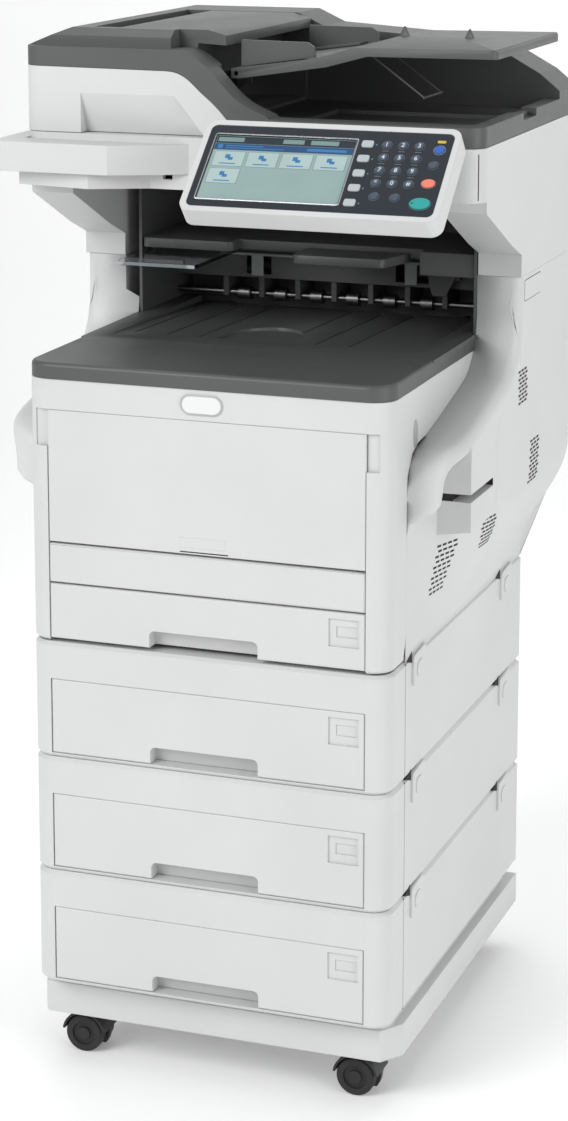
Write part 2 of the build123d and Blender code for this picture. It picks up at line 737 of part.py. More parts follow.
def top_cover():
    """Dark output deck: a shallow tray with grooves and a finger dish."""
    deck = block(-BODY_HALF, BODY_HALF, CREASE_Y, DECK_BACK, COVER_TOP, DECK_TOP)
    deck -= deck_cut(CREASE_Y + 18, DECK_BACK + 1, -BODY_HALF + 30, BODY_HALF - 30, 0)
    deck -= block(-BODY_HALF + 4, BODY_HALF - 4, CREASE_Y + 6, DECK_BACK - 4, COVER_TOP - 1, DECK_TOP - 16)
    for x in (-176, -133, -90, 18, 61, 104):
        deck -= deck_cut(CREASE_Y + 50, DECK_BACK - 10, x - 1.6, x + 1.6, 2.4)
    dish = extrude(Plane.XY.offset(COVER_TOP) * (Pos(-20, 245) * Ellipse(50, 75)), 40)
    deck -= dish & deck_cut(215, 330, -80, 60, 4)
    beside_column = block(-BODY_HALF - 1, -CHEEK_IN + 0.6, COLUMN_FRONT - 5, 700, 800, 900)
    deck -= beside_column + mirror(beside_column, Plane.YZ)
    for side in (-1, 1):
        x = side * 150
        deck += block(x - 10, x + 10, DECK_BACK - 6, DECK_BACK + 10, COVER_TOP, DECK_TOP - 11)
    return deck - rod_x(DECK_PIN_R + 0.05, -200, 200, DECK_BACK + 4, COVER_TOP + 3.8)


def exit_frame():
    """Dark frame around the paper exit, closing the gap between the columns."""
    half = CHEEK_OUT
    frame = block(-half, half, 520, 524, COVER_TOP + GAP, SCAN_LOW - 1)
    beam = block(-half, half, 455, 521, 921, 934)
    beam += block(-half, half, 455, 458, 933, 960)
    for x0, x1 in ((-118, -84), (86, 130)):
        beam -= block(x0, x1, 450, 500, 926, 950)
    frame += beam
    for side in (-1, 1):
        cheek = (side * CHEEK_IN, side * CHEEK_OUT)
        frame += block(min(cheek), max(cheek), COLUMN_FRONT + 1, 521, COVER_TOP + GAP, SCAN_LOW - 1)
    for x in spread(-150, 150, 7):
        frame += block(x - RIB_HALF, x + RIB_HALF, 462, 521, EXIT_Z - 4, 922)
    frame += block(134, 176, 440, 456, 935, 952)
    frame += front_prism([(132, 952), (178, 952), (158, 914), (140, 914)], 438, 441)
    frame -= rod_x(4.05, -half + 2, half - 2, EXIT_Y, EXIT_Z)
    frame -= roller_gaps()
    for side in (-1, 1):
        x = side * 150
        near = side * 8
        pin = (x + near, x + side * 16)
        frame += rod_x(DECK_PIN_R, min(pin), max(pin), DECK_BACK + 4, COVER_TOP + 3.8)
        lug = (x + side * 12, x + side * 16)
        frame += block(min(lug), max(lug), DECK_BACK + 1, 522, FRAME_TOP + 1, COVER_TOP + 8)
    return frame


ROLLER_X = (-125, -75, -25, 25, 75, 125)
ROLLER_R = 9.0


def roller_gaps():
    gaps = None
    for x in ROLLER_X:
        gap = rod_x(ROLLER_R + 1, x - 10, x + 10, EXIT_Y, EXIT_Z)
        gaps = gap if gaps is None else gaps + gap
    return gaps


def exit_rollers():
    """Steel shaft with six rubber rollers at the paper exit."""
    shaft = rod_x(4, -BODY_HALF + 3.5, BODY_HALF - 3.5, EXIT_Y, EXIT_Z)
    for x in ROLLER_X:
        shaft += rod_x(ROLLER_R, x - 8, x + 8, EXIT_Y, EXIT_Z)
    return shaft


FLAP_Z = 953.0
FLAP_Y = 447.0
PLATE_TOP = 967.0            # top of the clear extension


def paper_flaps():
    """Two hanging flaps that feel when the output deck is full."""
    flaps = rod_x(2, -150, 125, FLAP_Y, FLAP_Z)
    for x in (-100, 109):
        flaps += block(x - 8, x + 8, FLAP_Y - 1, FLAP_Y + 1, 925, FLAP_Z)
    return flaps


def exit_shelf():
    """Dark shelf over the exit with a tongue that reaches forwards."""
    half = BODY_HALF - 5.4
    shelf = block(-half, half, 372, 519, 972, 984)
    left = block(-half, -96, 345, 373, 972, 984)
    left = fillet(left.edges().filter_by(Axis.Z).sort_by(Axis.Y)[:2], 10)
    tongue_points = [(-5, 380), (-5, 312), (114, 312), (134, 380)]
    tongue = plan_prism(tongue_points, 967, 978)
    tongue = fillet(tongue.edges().filter_by(Axis.Z).sort_by(Axis.Y)[:2], 10)
    right = block(150, half, 352, 373, 955, 984)
    return shelf + left + tongue + right + shelf_hangers()


def shelf_hangers():
    """Ears that hold the flap shaft and the clear extension."""
    hangers = None
    for x0, x1 in ((-154, -150.4), (125.4, 129)):
        ear = block(x0, x1, FLAP_Y - 5, FLAP_Y + 5, FLAP_Z - 6, 973)
        ear -= rod_x(2.05, x0 - 1, x1 + 1, FLAP_Y, FLAP_Z)
        hangers = ear if hangers is None else hangers + ear
    for x in (-212, -118):
        hangers += block(x - 3, x + 3, 365, 440, PLATE_TOP + GAP, 973)
    return hangers


def clear_extension():
    """Transparent slide-out plate under the left end of the shelf."""
    plate = block(-219, -112, 256, 440, PLATE_TOP - 5, PLATE_TOP)
    plate = fillet(plate.edges().filter_by(Axis.Z).sort_by(Axis.Y)[:2], 12)
    plate += block(-206, -127, 256, 260, PLATE_TOP, PLATE_TOP + 5)
    return plate


# ---------------------------------------------------------------------------
# Scanner
# ---------------------------------------------------------------------------
GLASS = (-250.0, 190.0, 205.0, 512.0)
PORT_X = (-103.0, -115.0)


def scanner_arm():
    """Side view of the arm that carries the scanner on one column."""
    return [
        (COLUMN_FRONT, COLUMN_TOP),
        (COLUMN_FRONT, 988),
        (COLUMN_FRONT - 46, 1006),
        (187, 1060),
        (187, SCAN_LOW + 2),
        (MAIN_BACK, SCAN_LOW + 2),
        (MAIN_BACK, COLUMN_TOP),
    ]


def scanner_housing():
    """Glass frame, its two arms, the rear and the shelf on the left."""
    case = block(LEFT_X, RIGHT_X, SCAN_FRONT, MAIN_BACK, SCAN_LOW, SCAN_HIGH)
    front_corners = case.edges().filter_by(Axis.Z).sort_by(Axis.Y)[:2]
    case = fillet(front_corners, 25)
    for outer, inner in ((RIGHT_X, RIGHT_X - COLUMN_WIDE), (LEFT_X, LEFT_X + COLUMN_WIDE)):
        arm = side_prism(scanner_arm(), min(outer, inner), max(outer, inner))
        low_x = min(outer, inner) + WALL
        high_x = max(outer, inner) - WALL
        arm -= block(low_x, high_x, 380, MAIN_BACK - WALL, COLUMN_TOP - 1, SCAN_LOW + 4)
        case += arm
    case += block(LEFT_X + 1, RIGHT_X - 1, MAIN_BACK - WALL, MAIN_BACK, COLUMN_TOP, SCAN_LOW + 2)
    case -= block(LEFT_X + 6, RIGHT_X - 6, SCAN_FRONT + 8, MAIN_BACK - 6, SCAN_LOW + WALL, SCAN_HIGH - 6)
    x0, x1, y0, y1 = GLASS
    case -= block(x0, x1, y0, y1, SCAN_HIGH - 4, SCAN_HIGH + 1)
    case -= block(x0 + 6, x1 - 6, y0 + 6, y1 - 6, SCAN_HIGH - 8, SCAN_HIGH + 1)
    case += wing()
    case += panel_bracket()
    case += lid_barrels()
    return case - block(PORT_X[1], PORT_X[0], SCAN_FRONT - 1, SCAN_FRONT + 12, 1086, 1092)


def lid_barrels():
    """Two hinge barrels at the rear edge that carry the lid."""
    barrels = None
    for x0, x1 in LID_BARRELS:
        barrel = rod_x(LID_BARREL_R, x0, x1, LID_HINGE_Y, LID_HINGE_Z)
        barrel += block(x0, x1, LID_HINGE_Y - 2, LID_HINGE_Y + 2.5, SCAN_HIGH - 2, LID_HINGE_Z)
        barrel -= rod_x(LID_PIN_R + 0.05, x0 - 1, x1 + 1, LID_HINGE_Y, LID_HINGE_Z)
        barrels = barrel if barrels is None else barrels + barrel
    return barrels


def wing():
    """Working shelf at the left of the scanner, rounded at its corners."""
    outline = [
        (WING_LEFT, WING_FRONT),
        (-170, WING_FRONT),
        (-105, SCAN_FRONT - 12),
        (-80, SCAN_FRONT + 1),
        (LEFT_X + 1, SCAN_FRONT + 1),
        (LEFT_X + 1, 262),
        (WING_LEFT, 235),
    ]
    plate = plan_prism(outline, WING_LOW, WING_HIGH)
    corners = plate.edges().filter_by(Axis.Z)
    plate = fillet(corners.sort_by_distance((WING_LEFT, WING_FRONT, WING_HIGH))[:1], 18)
    under = [(LEFT_X, 150), (-200, 132), (-130, SCAN_FRONT + 1), (LEFT_X, SCAN_FRONT + 1)]
    return plate + plan_prism(under, SCAN_LOW, WING_LOW + 1)


BRACKET_X = 115.0


def panel_bracket():
    """Arm on the scanner front that the operator panel hangs on."""
    arm = block(BRACKET_X - 45, BRACKET_X + 45, 148, SCAN_FRONT + 1, 1084, 1112)
    ears = None
    for side in (-1, 1):
        x = BRACKET_X + side * 41
        ear = block(x - 4, x + 4, 122, 150, 1084, 1106)
        ears = ear if ears is None else ears + ear
    arm += ears
    return arm - rod_x(4.05, BRACKET_X - 60, BRACKET_X + 60, PANEL_PIVOT_Y, PANEL_PIVOT_Z)


PANEL_PIVOT_Y = 130.0
PANEL_PIVOT_Z = 1092.0


def platen_glass():
    x0, x1, y0, y1 = GLASS
    return block(x0 + GAP, x1 - GAP, y0 + GAP, y1 - GAP, SCAN_HIGH - 4, SCAN_HIGH)


def scan_carriage():
    """Lamp and mirror carriage that travels under the glass."""
    bar = block(-240, -196, 190, 530, 1092, 1124)
    bar = fillet(bar.edges().filter_by(Axis.Y), 3)
    slot = block(-225, -211, 205, 515, 1118, 1126)
    return bar - slot


# ---------------------------------------------------------------------------
# Lid with document feeder
# ---------------------------------------------------------------------------
FEEDER_LEFT = -224.0         # left and right edges of the feeder cover
FEEDER_RIGHT = -52.0
TROUGH_FRONT = 200.0
TROUGH_BACK = 519.0
TROUGH_FLOOR = 1150.0
FLANK = 52.0                 # sloping left flank of the feeder


def lid_skyline():
    """Front view of the lid: high feeder on the left, low rim on the right."""
    bend = [
        (-112, LID_HIGH),
        (-89, LID_HIGH - 0.6),
        (-70, LID_HIGH - 10),
        (-53, 1217),
        (-7, 1176),
        (18, 1165),
        (50, LID_RIM),
    ]
    edge = Line((LEFT_X, LID_LOW), (LEFT_X, LID_HIGH)) + Line((LEFT_X, LID_HIGH), bend[0])
    edge += Spline(*bend, tangents=((1, 0), (1, 0)))
    edge += Polyline(bend[-1], (RIGHT_X, LID_RIM), (RIGHT_X, LID_LOW), (LEFT_X, LID_LOW))
    return make_face(edge)


def extrude_back(sheet, y0, y1):
    """A front-view sheet, extruded from y0 to y1."""
    return extrude(Plane.XZ.offset(-y1) * sheet, y1 - y0)


def feeder_plateau():
    """Raised top around the feeder cover, with sloping front and left flanks."""
    back = TROUGH_BACK + 1
    front = side_prism(
        [(SCAN_FRONT, LID_HIGH), (198, LID_TOP), (back, LID_TOP), (back, 1200), (SCAN_FRONT, 1200)],
        LEFT_X,
        -112,
    )
    left = front_prism(
        [(LEFT_X, LID_HIGH), (LEFT_X + FLANK, LID_TOP), (-112, LID_TOP), (-112, 1200), (LEFT_X, 1200)],
        SCAN_FRONT,
        back,
    )
    return front & left


def lid():
    """Dark lid: platen cover, output trough and the walls of the feeder."""
    base = extrude_back(lid_skyline(), SCAN_FRONT, TROUGH_BACK)
    upright = base.edges().filter_by(Axis.Z).sort_by(Axis.Y)[:2]
    base = fillet(upright, 22)
    rear_points = [
        (LEFT_X, LID_LOW),
        (LEFT_X, LID_HIGH),
        (LEFT_X + FLANK, LID_TOP),
        (-70, LID_TOP),
        (-34, 1246),
        (170, 1232),
        (218, 1214),
        (256, 1193),
        (RIGHT_X, 1172),
        (RIGHT_X, LID_LOW),
    ]
    base += front_prism(rear_points, TROUGH_BACK, MAIN_BACK)
    base += feeder_plateau() & block(LEFT_X, -112, SCAN_FRONT + 20, 700, 1200, 1300)
    base -= block(FEEDER_LEFT, -10, TROUGH_FRONT + 12, TROUGH_BACK - 1, 1180, 1300)
    base -= block(-58, 262, TROUGH_FRONT, TROUGH_BACK, TROUGH_FLOOR, 1300)
    base -= block(FEEDER_LEFT, -57, TROUGH_FRONT + 12, TROUGH_BACK - 1, TROUGH_FLOOR + 4, 1181)
    base -= block(20, 262, TROUGH_FRONT + 40, 415, TROUGH_FLOOR - 5, TROUGH_FLOOR + 1)
    base -= lid_panel_space()
    base -= block(255, RIGHT_X + 1, 345, 405, TROUGH_FLOOR + 3, 1300)
    base += block(262, 272, 352, 398, TROUGH_FLOOR, TROUGH_FLOOR + 9)
    base -= block(LEFT_X + 8, 260, TROUGH_BACK + 8, MAIN_BACK - 8, LID_LOW - 1, 1170)
    base -= block(LEFT_X + 8, FEEDER_LEFT - 6, TROUGH_FRONT, TROUGH_BACK - 8, LID_LOW - 1, 1234)
    return base - lid_hinge_space() + lid_hinge_pins() + feeder_hinge_pin()


def lid_hinge_space():
    """Bevel along the rear lower edge and a notch around each barrel."""
    low = LID_LOW - 1
    bevel = [(MAIN_BACK - 5.2, low), (MAIN_BACK + 1, low), (MAIN_BACK + 1, low + 6.2)]
    space = side_prism(bevel, LEFT_X - 1, RIGHT_X + 1)
    for x0, x1 in LID_BARRELS:
        space += block(x0 - 0.5, x1 + 0.5, LID_HINGE_Y - 6, MAIN_BACK + 1, low, LID_HINGE_Z + 5.5)
    return space


def lid_hinge_pins():
    """Pins of the lid that turn in the barrels of the scanner."""
    (x0, x1), (x2, x3) = LID_BARRELS
    pins = rod_x(LID_PIN_R, x0 - 2, x1 + 2, LID_HINGE_Y, LID_HINGE_Z)
    return pins + rod_x(LID_PIN_R, x2 - 2, x3 + 2, LID_HINGE_Y, LID_HINGE_Z)


def lid_panel_outline(gap):
    """Front view of the white panel; gap makes the recess larger than it."""
    low = LID_LOW - (1 if gap else 0)
    bend = [
        (-118, 1215.8 + gap),
        (-100, 1214.5 + gap),
        (-86, 1208.5 + gap),
        (-70, 1195 + gap),
        (-16 + 2 * gap, low),
    ]
    left = LEFT_X - (1 if gap else 0)
    edge = Polyline((left, low), (left, 1217.4 + gap), bend[0])
    edge += Spline(*bend, tangents=((1, 0), (0.75, -1)))
    edge += Line(bend[-1], (left, low))
    return make_face(edge)


def lid_panel_space():
    """Recess in the front of the lid that the white panel fills."""
    return extrude_back(lid_panel_outline(0.5), SCAN_FRONT - 1, SCAN_FRONT + 26)


def lid_front_panel():
    """White front panel of the lid with a dished grip to lift it by."""
    panel = extrude_back(lid_panel_outline(0), SCAN_FRONT, SCAN_FRONT + 25)
    corner = panel.edges().filter_by(Axis.Z).sort_by_distance((LEFT_X, SCAN_FRONT, 1180))[:1]
    panel = fillet(corner, 22)
    grip = [(-222, LID_LOW - 1), (-222, 1188), (-100, 1186), (-60, LID_LOW - 1)]
    scoop = front_prism(grip, SCAN_FRONT - 1, SCAN_FRONT + 18)
    slope = side_prism(
        [(SCAN_FRONT - 2, LID_LOW - 2), (SCAN_FRONT + 18, LID_LOW - 2), (SCAN_FRONT - 2, 1192)],
        -240,
        -40,
    )
    return panel - (scoop & slope)


FEEDER_PIVOT_X = -214.0
FEEDER_PIVOT_Z = 1249.0


def feeder_hinge_pin():
    """Two short pins that the feeder cover turns on."""
    front = TROUGH_FRONT + 11
    pins = rod_y(3, front, front + 8, FEEDER_PIVOT_X, FEEDER_PIVOT_Z)
    return pins + rod_y(3, TROUGH_BACK - 8, TROUGH_BACK, FEEDER_PIVOT_X, FEEDER_PIVOT_Z)


def adf_cover():
    """Feeder cover that swings up to the left, with the guides under it."""
    y0 = TROUGH_FRONT + 12 + GAP
    y1 = TROUGH_BACK - 1 - GAP
    outline = [
        (-192, 1259),
        (-190, LID_TOP - 0.3),
        (-75, LID_TOP - 0.3),
        (FEEDER_RIGHT, 1256),
        (FEEDER_RIGHT, 1244),
        (-88, 1246),
        (-96, 1202),
        (-116, 1194),
        (-126, 1194),
        (-128, 1248),
        (-186, 1248),
        (-192, 1240),
        (-196, 1240),
        (-196, 1254),
    ]
    cover = front_prism(outline, y0, y1)
    for y in spread(y0 + 20, y1 - 20, 6):
        cover += block(-190, -126, y - 1.5, y + 1.5, 1222, 1250)
    for y in (y0, y1 - 10):
        cover += block(-218, -190, y, y + 10, 1244, 1254)
    cover -= rod_y(3.05, y0 - 1, y1 + 1, FEEDER_PIVOT_X, FEEDER_PIVOT_Z)
    cover -= rod_y(ADF_ROLLER_R + 1.5, y0 + 100, y1 - 100, ADF_ROLLER_X, ADF_ROLLER_Z)
    return cover + roller_cheeks(y0, y1)


ADF_ROLLER_X = -112.0
ADF_ROLLER_Z = 1184.0
ADF_ROLLER_R = 11.0


def roller_cheeks(y0, y1):
    """Two plates under the feeder cover that carry the pick-up roller."""
    cheeks = None
    for y in (y0 + 96, y1 - 100):
        plate = block(-128, -97, y, y + 4, ADF_ROLLER_Z - 6, 1243)
        plate -= rod_y(3.05, y - 1, y + 5, ADF_ROLLER_X, ADF_ROLLER_Z)
        cheeks = plate if cheeks is None else cheeks + plate
    return cheeks


def adf_rollers():
    """Pick-up roller on its shaft."""
    y0 = TROUGH_FRONT + 12 + GAP + 96
    y1 = TROUGH_BACK - 1 - GAP - 96
    shaft = rod_y(3, y0 - 2, y1 + 2, ADF_ROLLER_X, ADF_ROLLER_Z)
    middle = (y0 + y1) / 2
    for y in (middle - 26, middle + 26):
        shaft += rod_y(ADF_ROLLER_R, y - 12, y + 12, ADF_ROLLER_X, ADF_ROLLER_Z)
    return shaft


TRAY_FRONT = 223.0
TRAY_REAR = 512.0
TRAY_PIVOT_X = -44.0
TRAY_PIVOT_Z = 1210.0
GUIDE_SLOTS = (262.0, 300.0, 436.0, 474.0)


def document_tray():
    """Input tray: a low feeding end, a ramp and a level extension."""
    outline = [
        (-50, 1216),
        (58, 1231),
        (104, 1245),
        (RIGHT_X - 3, 1247),
        (RIGHT_X, 1244),
        (RIGHT_X, 1236),
        (122, 1235),
        (71, 1221),
        (-40, 1204),
        (-50, 1204),
    ]
    tray = front_prism(outline, TRAY_FRONT, TRAY_REAR)
    corners = tray.edges().filter_by(Axis.Z).sort_by(Axis.X)[-2:]
    tray = fillet(corners, 8)
    for y in GUIDE_SLOTS:
        tray -= block(-30, 40, y - 2, y + 2, 1190, 1240)
    for x, y in ((109, 413), (198, 396)):
        tray += front_prism([(x - 7, 1243), (x + 7, 1243), (x, 1257)], y - 4, y + 4)
    tray += wire_bail()
    return tray - rod_y(3.05, TRAY_FRONT - 1, TRAY_REAR + 1, TRAY_PIVOT_X, TRAY_PIVOT_Z)


def wire_bail():
    """Wire stay under the tray that holds copies down in the trough."""
    front = (260, 330)
    top = Vector(112, 0, 1236)
    low = Vector(182, 0, 1185)
    path = None
    for y in front:
        run = Edge.make_line(Vector(top.X, y, top.Z), Vector(low.X, y, low.Z))
        end = Plane(origin=run.position_at(0), z_dir=run.tangent_at(0))
        leg = extrude(end * Circle(1.2), run.length)
        path = leg if path is None else path + leg
    return path + rod_y(1.5, front[0] - 2, front[1] + 2, low.X, low.Z)


def document_guide(front_one):
    """Side guide that squares the originals on the input tray."""
    y = 232.0 if front_one else 478.0
    thick = 5.0
    inward = 1 if front_one else -1
    wall_points = [(-40, 1218), (-40, 1250), (44, 1249), (52, 1244), (54, 1232), (58, 1232)]
    wall = front_prism(wall_points, y, y + thick)
    reach = (y + 2, y + 2 + inward * 30)
    foot = front_prism(
        [(-30, 1219.5), (38, 1229), (38, 1231.4), (-30, 1222)], min(reach), max(reach)
    )
    return wall + foot


# ---------------------------------------------------------------------------
# Operator panel
# ---------------------------------------------------------------------------
def panel_plane():
    """Plane of the panel's face: x across, y up the slope, z outwards."""
    tilt = radians(PANEL_TILT)
    origin = Vector(PANEL_LEFT, PANEL_LOW_Y, PANEL_LOW_Z)
    return Plane(origin=origin, x_dir=(1, 0, 0), z_dir=(0, -sin(tilt), cos(tilt)))


PANEL_WIDE = PANEL_RIGHT - PANEL_LEFT
FACE_DEEP = 5.0
SCREEN = (9.0, 181.0, 12.0, 109.0)


def panel_slab(x0, x1, y0, y1, z0, z1, radius):
    """A rounded slab lying in the panel's own plane."""
    sheet = Pos((x0 + x1) / 2, (y0 + y1) / 2) * RectangleRounded(x1 - x0, y1 - y0, radius)
    return extrude(panel_plane().offset(z0) * sheet, z1 - z0)


def panel_housing():
    """White shell behind the panel face, on a hinge barrel."""
    rim = PANEL_RIM
    shell = panel_slab(-rim, PANEL_WIDE + rim, -rim, PANEL_SLANT + rim, -PANEL_DEEP, 0.5, 14)
    shell -= panel_slab(-0.5, PANEL_WIDE + 0.5, -0.5, PANEL_SLANT + 0.5, -FACE_DEEP, 2, 8)
    shell -= panel_slab(4, PANEL_WIDE - 4, 4, PANEL_SLANT - 4, -PANEL_DEEP + 3, -FACE_DEEP + 1, 6)
    x0 = BRACKET_X - 36
    x1 = BRACKET_X + 36
    arm = side_prism([(78, 1098), (126, 1084), (136, 1092), (128, 1101), (104, 1120)], x0, x1)
    arm -= panel_slab(-20, PANEL_WIDE + 20, -20, PANEL_SLANT + 20, -PANEL_DEEP + 1, 20, 4)
    pin = rod_x(4, BRACKET_X - 45, BRACKET_X + 45, PANEL_PIVOT_Y, PANEL_PIVOT_Z)
    return shell + arm + pin + rod_x(9, x0, x1, PANEL_PIVOT_Y, PANEL_PIVOT_Z)


# Keys lie on the panel face; positions are across and up the slope.
MODE_KEY_X = 195.0
MODE_KEY_Y = spread(103, 15, 5)
NUMBER_X = (218.0, 237.5, 257.0)
NUMBER_Y = (103.0, 84.0, 65.0, 46.0)
EXTRA_KEYS = ((221.0, 26.0), (245.5, 25.5), (279.5, 75.5))
POWER_KEY = (281.5, 98.5)
STOP_KEY = (280.0, 48.0)
START_KEY = (277.0, 18.0)


def panel_face():
    """Dark glossy bezel with holes for the screen and the keys."""
    face = panel_slab(0, PANEL_WIDE, 0, PANEL_SLANT, -FACE_DEEP + 0.1, 0.3, 8)
    x0, x1, y0, y1 = SCREEN
    face -= panel_slab(x0, x1, y0, y1, -FACE_DEEP - 1, 2, 2)
    plane = panel_plane().offset(-FACE_DEEP - 1)
    deep = FACE_DEEP + 3
    for y in MODE_KEY_Y:
        face -= extrude(plane * (Pos(MODE_KEY_X, y) * RectangleRounded(14.8, 10.8, 3)), deep)
    for x in NUMBER_X:
        for y in NUMBER_Y:
            face -= extrude(plane * (Pos(x, y) * Circle(5.4)), deep)
    for x, y in EXTRA_KEYS:
        face -= extrude(plane * (Pos(x, y) * Circle(5.4)), deep)
    face -= extrude(plane * (Pos(*POWER_KEY) * Circle(6.4)), deep)
    face -= extrude(plane * (Pos(*STOP_KEY) * Ellipse(8.4, 6.4)), deep)
    face -= extrude(plane * (Pos(*START_KEY) * Ellipse(12.4, 8.4)), deep)
    return face


def touch_screen():
    x0, x1, y0, y1 = SCREEN
    screen = panel_slab(x0 + 0.3, x1 - 0.3, y0 + 0.3, y1 - 0.3, -FACE_DEEP + 0.1, -1.2, 1.5)
    return screen


def key_cap(sheet, top):
    """One key: its cap above the face."""
    return extrude(panel_plane().offset(-3.6) * sheet, top + 3.6)


def number_keys():
    """Digit and function keys on one rubber mat under the face."""
    low = -FACE_DEEP - 3
    high = -FACE_DEEP - 1.9
    mat = panel_slab(210, 265, 18, 111, low, high, 3)
    mat += panel_slab(262, 288, 67, 84, low, high, 3)
    plane = panel_plane().offset(-FACE_DEEP - 2.5)
    places = [(x, y) for x in NUMBER_X for y in NUMBER_Y] + list(EXTRA_KEYS)
    for x, y in places:
        mat += extrude(plane * (Pos(x, y) * Circle(5)), FACE_DEEP + 4)
    return mat


# ---------------------------------------------------------------------------
# Export
# ---------------------------------------------------------------------------
def export(name, shape):
    """Move a sub-part into the part's own frame and write it."""
    placed = Pos(-ORIGIN_X, -ORIGIN_Y, 0) * shape
    export_step(placed, f"parts/{name}.step")


def write_base():
    export("caster_base", caster_base())
    for place, (x, y) in CASTERS.items():
        export(f"caster_fork_{place}", caster_fork(x, y))
        export(f"caster_wheels_{place}", caster_wheels(x, y))
    for number in (2, 3, 4):
        export(f"tray_housing_{number}", tray_housing(number))
    for number in (1, 2, 3, 4):
        export(f"drawer_front_{number}", drawer_front(number))
        export(f"paper_tray_{number}", paper_tray(number))


def write_main_unit():
    export("main_frame", main_frame())
    export("front_fascia", front_fascia())
    export("right_side_cover", side_cover(RIGHT_X, True))
    export("left_side_cover", mirror(side_cover(-LEFT_X, False), Plane.YZ))
    export("rear_cover", rear_cover())
    export("front_cover", front_cover())
    export("front_cover_cap", front_cover_cap())
    export("mp_tray", mp_tray())
    export("tray_open_button", tray_open_button())
    export("fuser_unit", fuser_unit())
    export("image_units", image_units())
    export("transfer_belt_unit", transfer_belt_unit())
    export("top_cover", top_cover())
    export("exit_frame", exit_frame())
    export("exit_rollers", exit_rollers())
    export("paper_flaps", paper_flaps())
    export("exit_shelf", exit_shelf())
    export("clear_extension", clear_extension())


def write_scanner():
    export("scanner_housing", scanner_housing())
    export("platen_glass", platen_glass())
    export("scan_carriage", scan_carriage())
    export("lid", lid())
    export("lid_front_panel", lid_front_panel())
    export("adf_cover", adf_cover())
    export("adf_rollers", adf_rollers())
    export("document_tray", document_tray())
    export("document_guide_front", document_guide(True))
    export("document_guide_rear", document_guide(False))


def write_panel():
    export("panel_housing", panel_housing())
    export("panel_face", panel_face())
    export("touch_screen", touch_screen())
    export("number_keys", number_keys())
    for number, y in enumerate(MODE_KEY_Y, start=1):
        cap = Pos(MODE_KEY_X, y) * RectangleRounded(14, 10, 2.6)
        export(f"mode_key_{number}", key_cap(cap, 1.6))
    export("power_key", key_cap(Pos(*POWER_KEY) * Circle(6), 1.6))
    export("stop_key", key_cap(Pos(*STOP_KEY) * Ellipse(8, 6), 1.8))
    export("start_key", key_cap(Pos(*START_KEY) * Ellipse(12, 8), 2.0))


os.makedirs("parts", exist_ok=True)
write_base()
write_main_unit()
write_scanner()
write_panel()
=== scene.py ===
"""Looks of a floor-standing photocopier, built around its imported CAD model.

Lengths are written in millimetres from the machine's own datum: x from the middle of the
drawers, y from the drawer faces, z from the floor. at() turns them into the frame's metres.
"""
import json
import math

import bmesh
import bpy
from mathutils import Matrix, Vector

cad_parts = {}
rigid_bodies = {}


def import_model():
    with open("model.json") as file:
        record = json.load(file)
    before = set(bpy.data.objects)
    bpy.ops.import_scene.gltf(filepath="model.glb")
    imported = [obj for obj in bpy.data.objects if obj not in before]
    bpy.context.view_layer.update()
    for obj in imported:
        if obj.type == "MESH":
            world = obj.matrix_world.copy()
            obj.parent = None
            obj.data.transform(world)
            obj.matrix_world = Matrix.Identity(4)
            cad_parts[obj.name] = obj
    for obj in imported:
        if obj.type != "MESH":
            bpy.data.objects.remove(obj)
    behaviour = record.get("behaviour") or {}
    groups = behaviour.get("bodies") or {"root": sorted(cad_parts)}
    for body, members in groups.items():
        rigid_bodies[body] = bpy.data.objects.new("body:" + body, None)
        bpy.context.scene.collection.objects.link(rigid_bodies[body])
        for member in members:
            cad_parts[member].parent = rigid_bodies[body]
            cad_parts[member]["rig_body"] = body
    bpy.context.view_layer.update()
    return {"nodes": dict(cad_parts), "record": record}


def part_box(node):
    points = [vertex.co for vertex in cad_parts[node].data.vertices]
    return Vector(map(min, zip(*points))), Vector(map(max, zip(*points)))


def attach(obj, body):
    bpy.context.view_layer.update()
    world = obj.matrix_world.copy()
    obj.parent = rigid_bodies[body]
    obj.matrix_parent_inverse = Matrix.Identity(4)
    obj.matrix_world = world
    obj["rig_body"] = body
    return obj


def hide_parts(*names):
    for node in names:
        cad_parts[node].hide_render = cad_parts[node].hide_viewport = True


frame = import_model()
NODES = frame["nodes"]
MM = 0.001
DATUM_LOW, DATUM_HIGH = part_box("drawer_front_2")
DATUM_X = (DATUM_LOW.x + DATUM_HIGH.x) / 2
DATUM_Y = DATUM_LOW.y


def at(x, y, z):
    """A point given in millimetres from the machine's datum, in the frame's metres."""
    return Vector((DATUM_X + x * MM, DATUM_Y + y * MM, z * MM))


def node_box(node):
    """The box of a CAD node as (x0, x1, y0, y1, z0, z1) in millimetres from the datum."""
    low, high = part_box(node)
    return (
        (low.x - DATUM_X) / MM,
        (high.x - DATUM_X) / MM,
        (low.y - DATUM_Y) / MM,
        (high.y - DATUM_Y) / MM,
        low.z / MM,
        high.z / MM,
    )


# ---------------------------------------------------------------------------
# Camera
# ---------------------------------------------------------------------------
CAMERA_RIGHT = 870.3         # millimetres to the right of the right side cover
CAMERA_AHEAD = 3505.1        # millimetres in front of the rear cover
CAMERA_HEIGHT = 1524.9
CAMERA_YAW = 19.95           # degrees
CAMERA_PITCH = -10.78
CAMERA_LENS = 89.26
CAMERA_SHIFT = -0.2          # keeps the uprights close to parallel


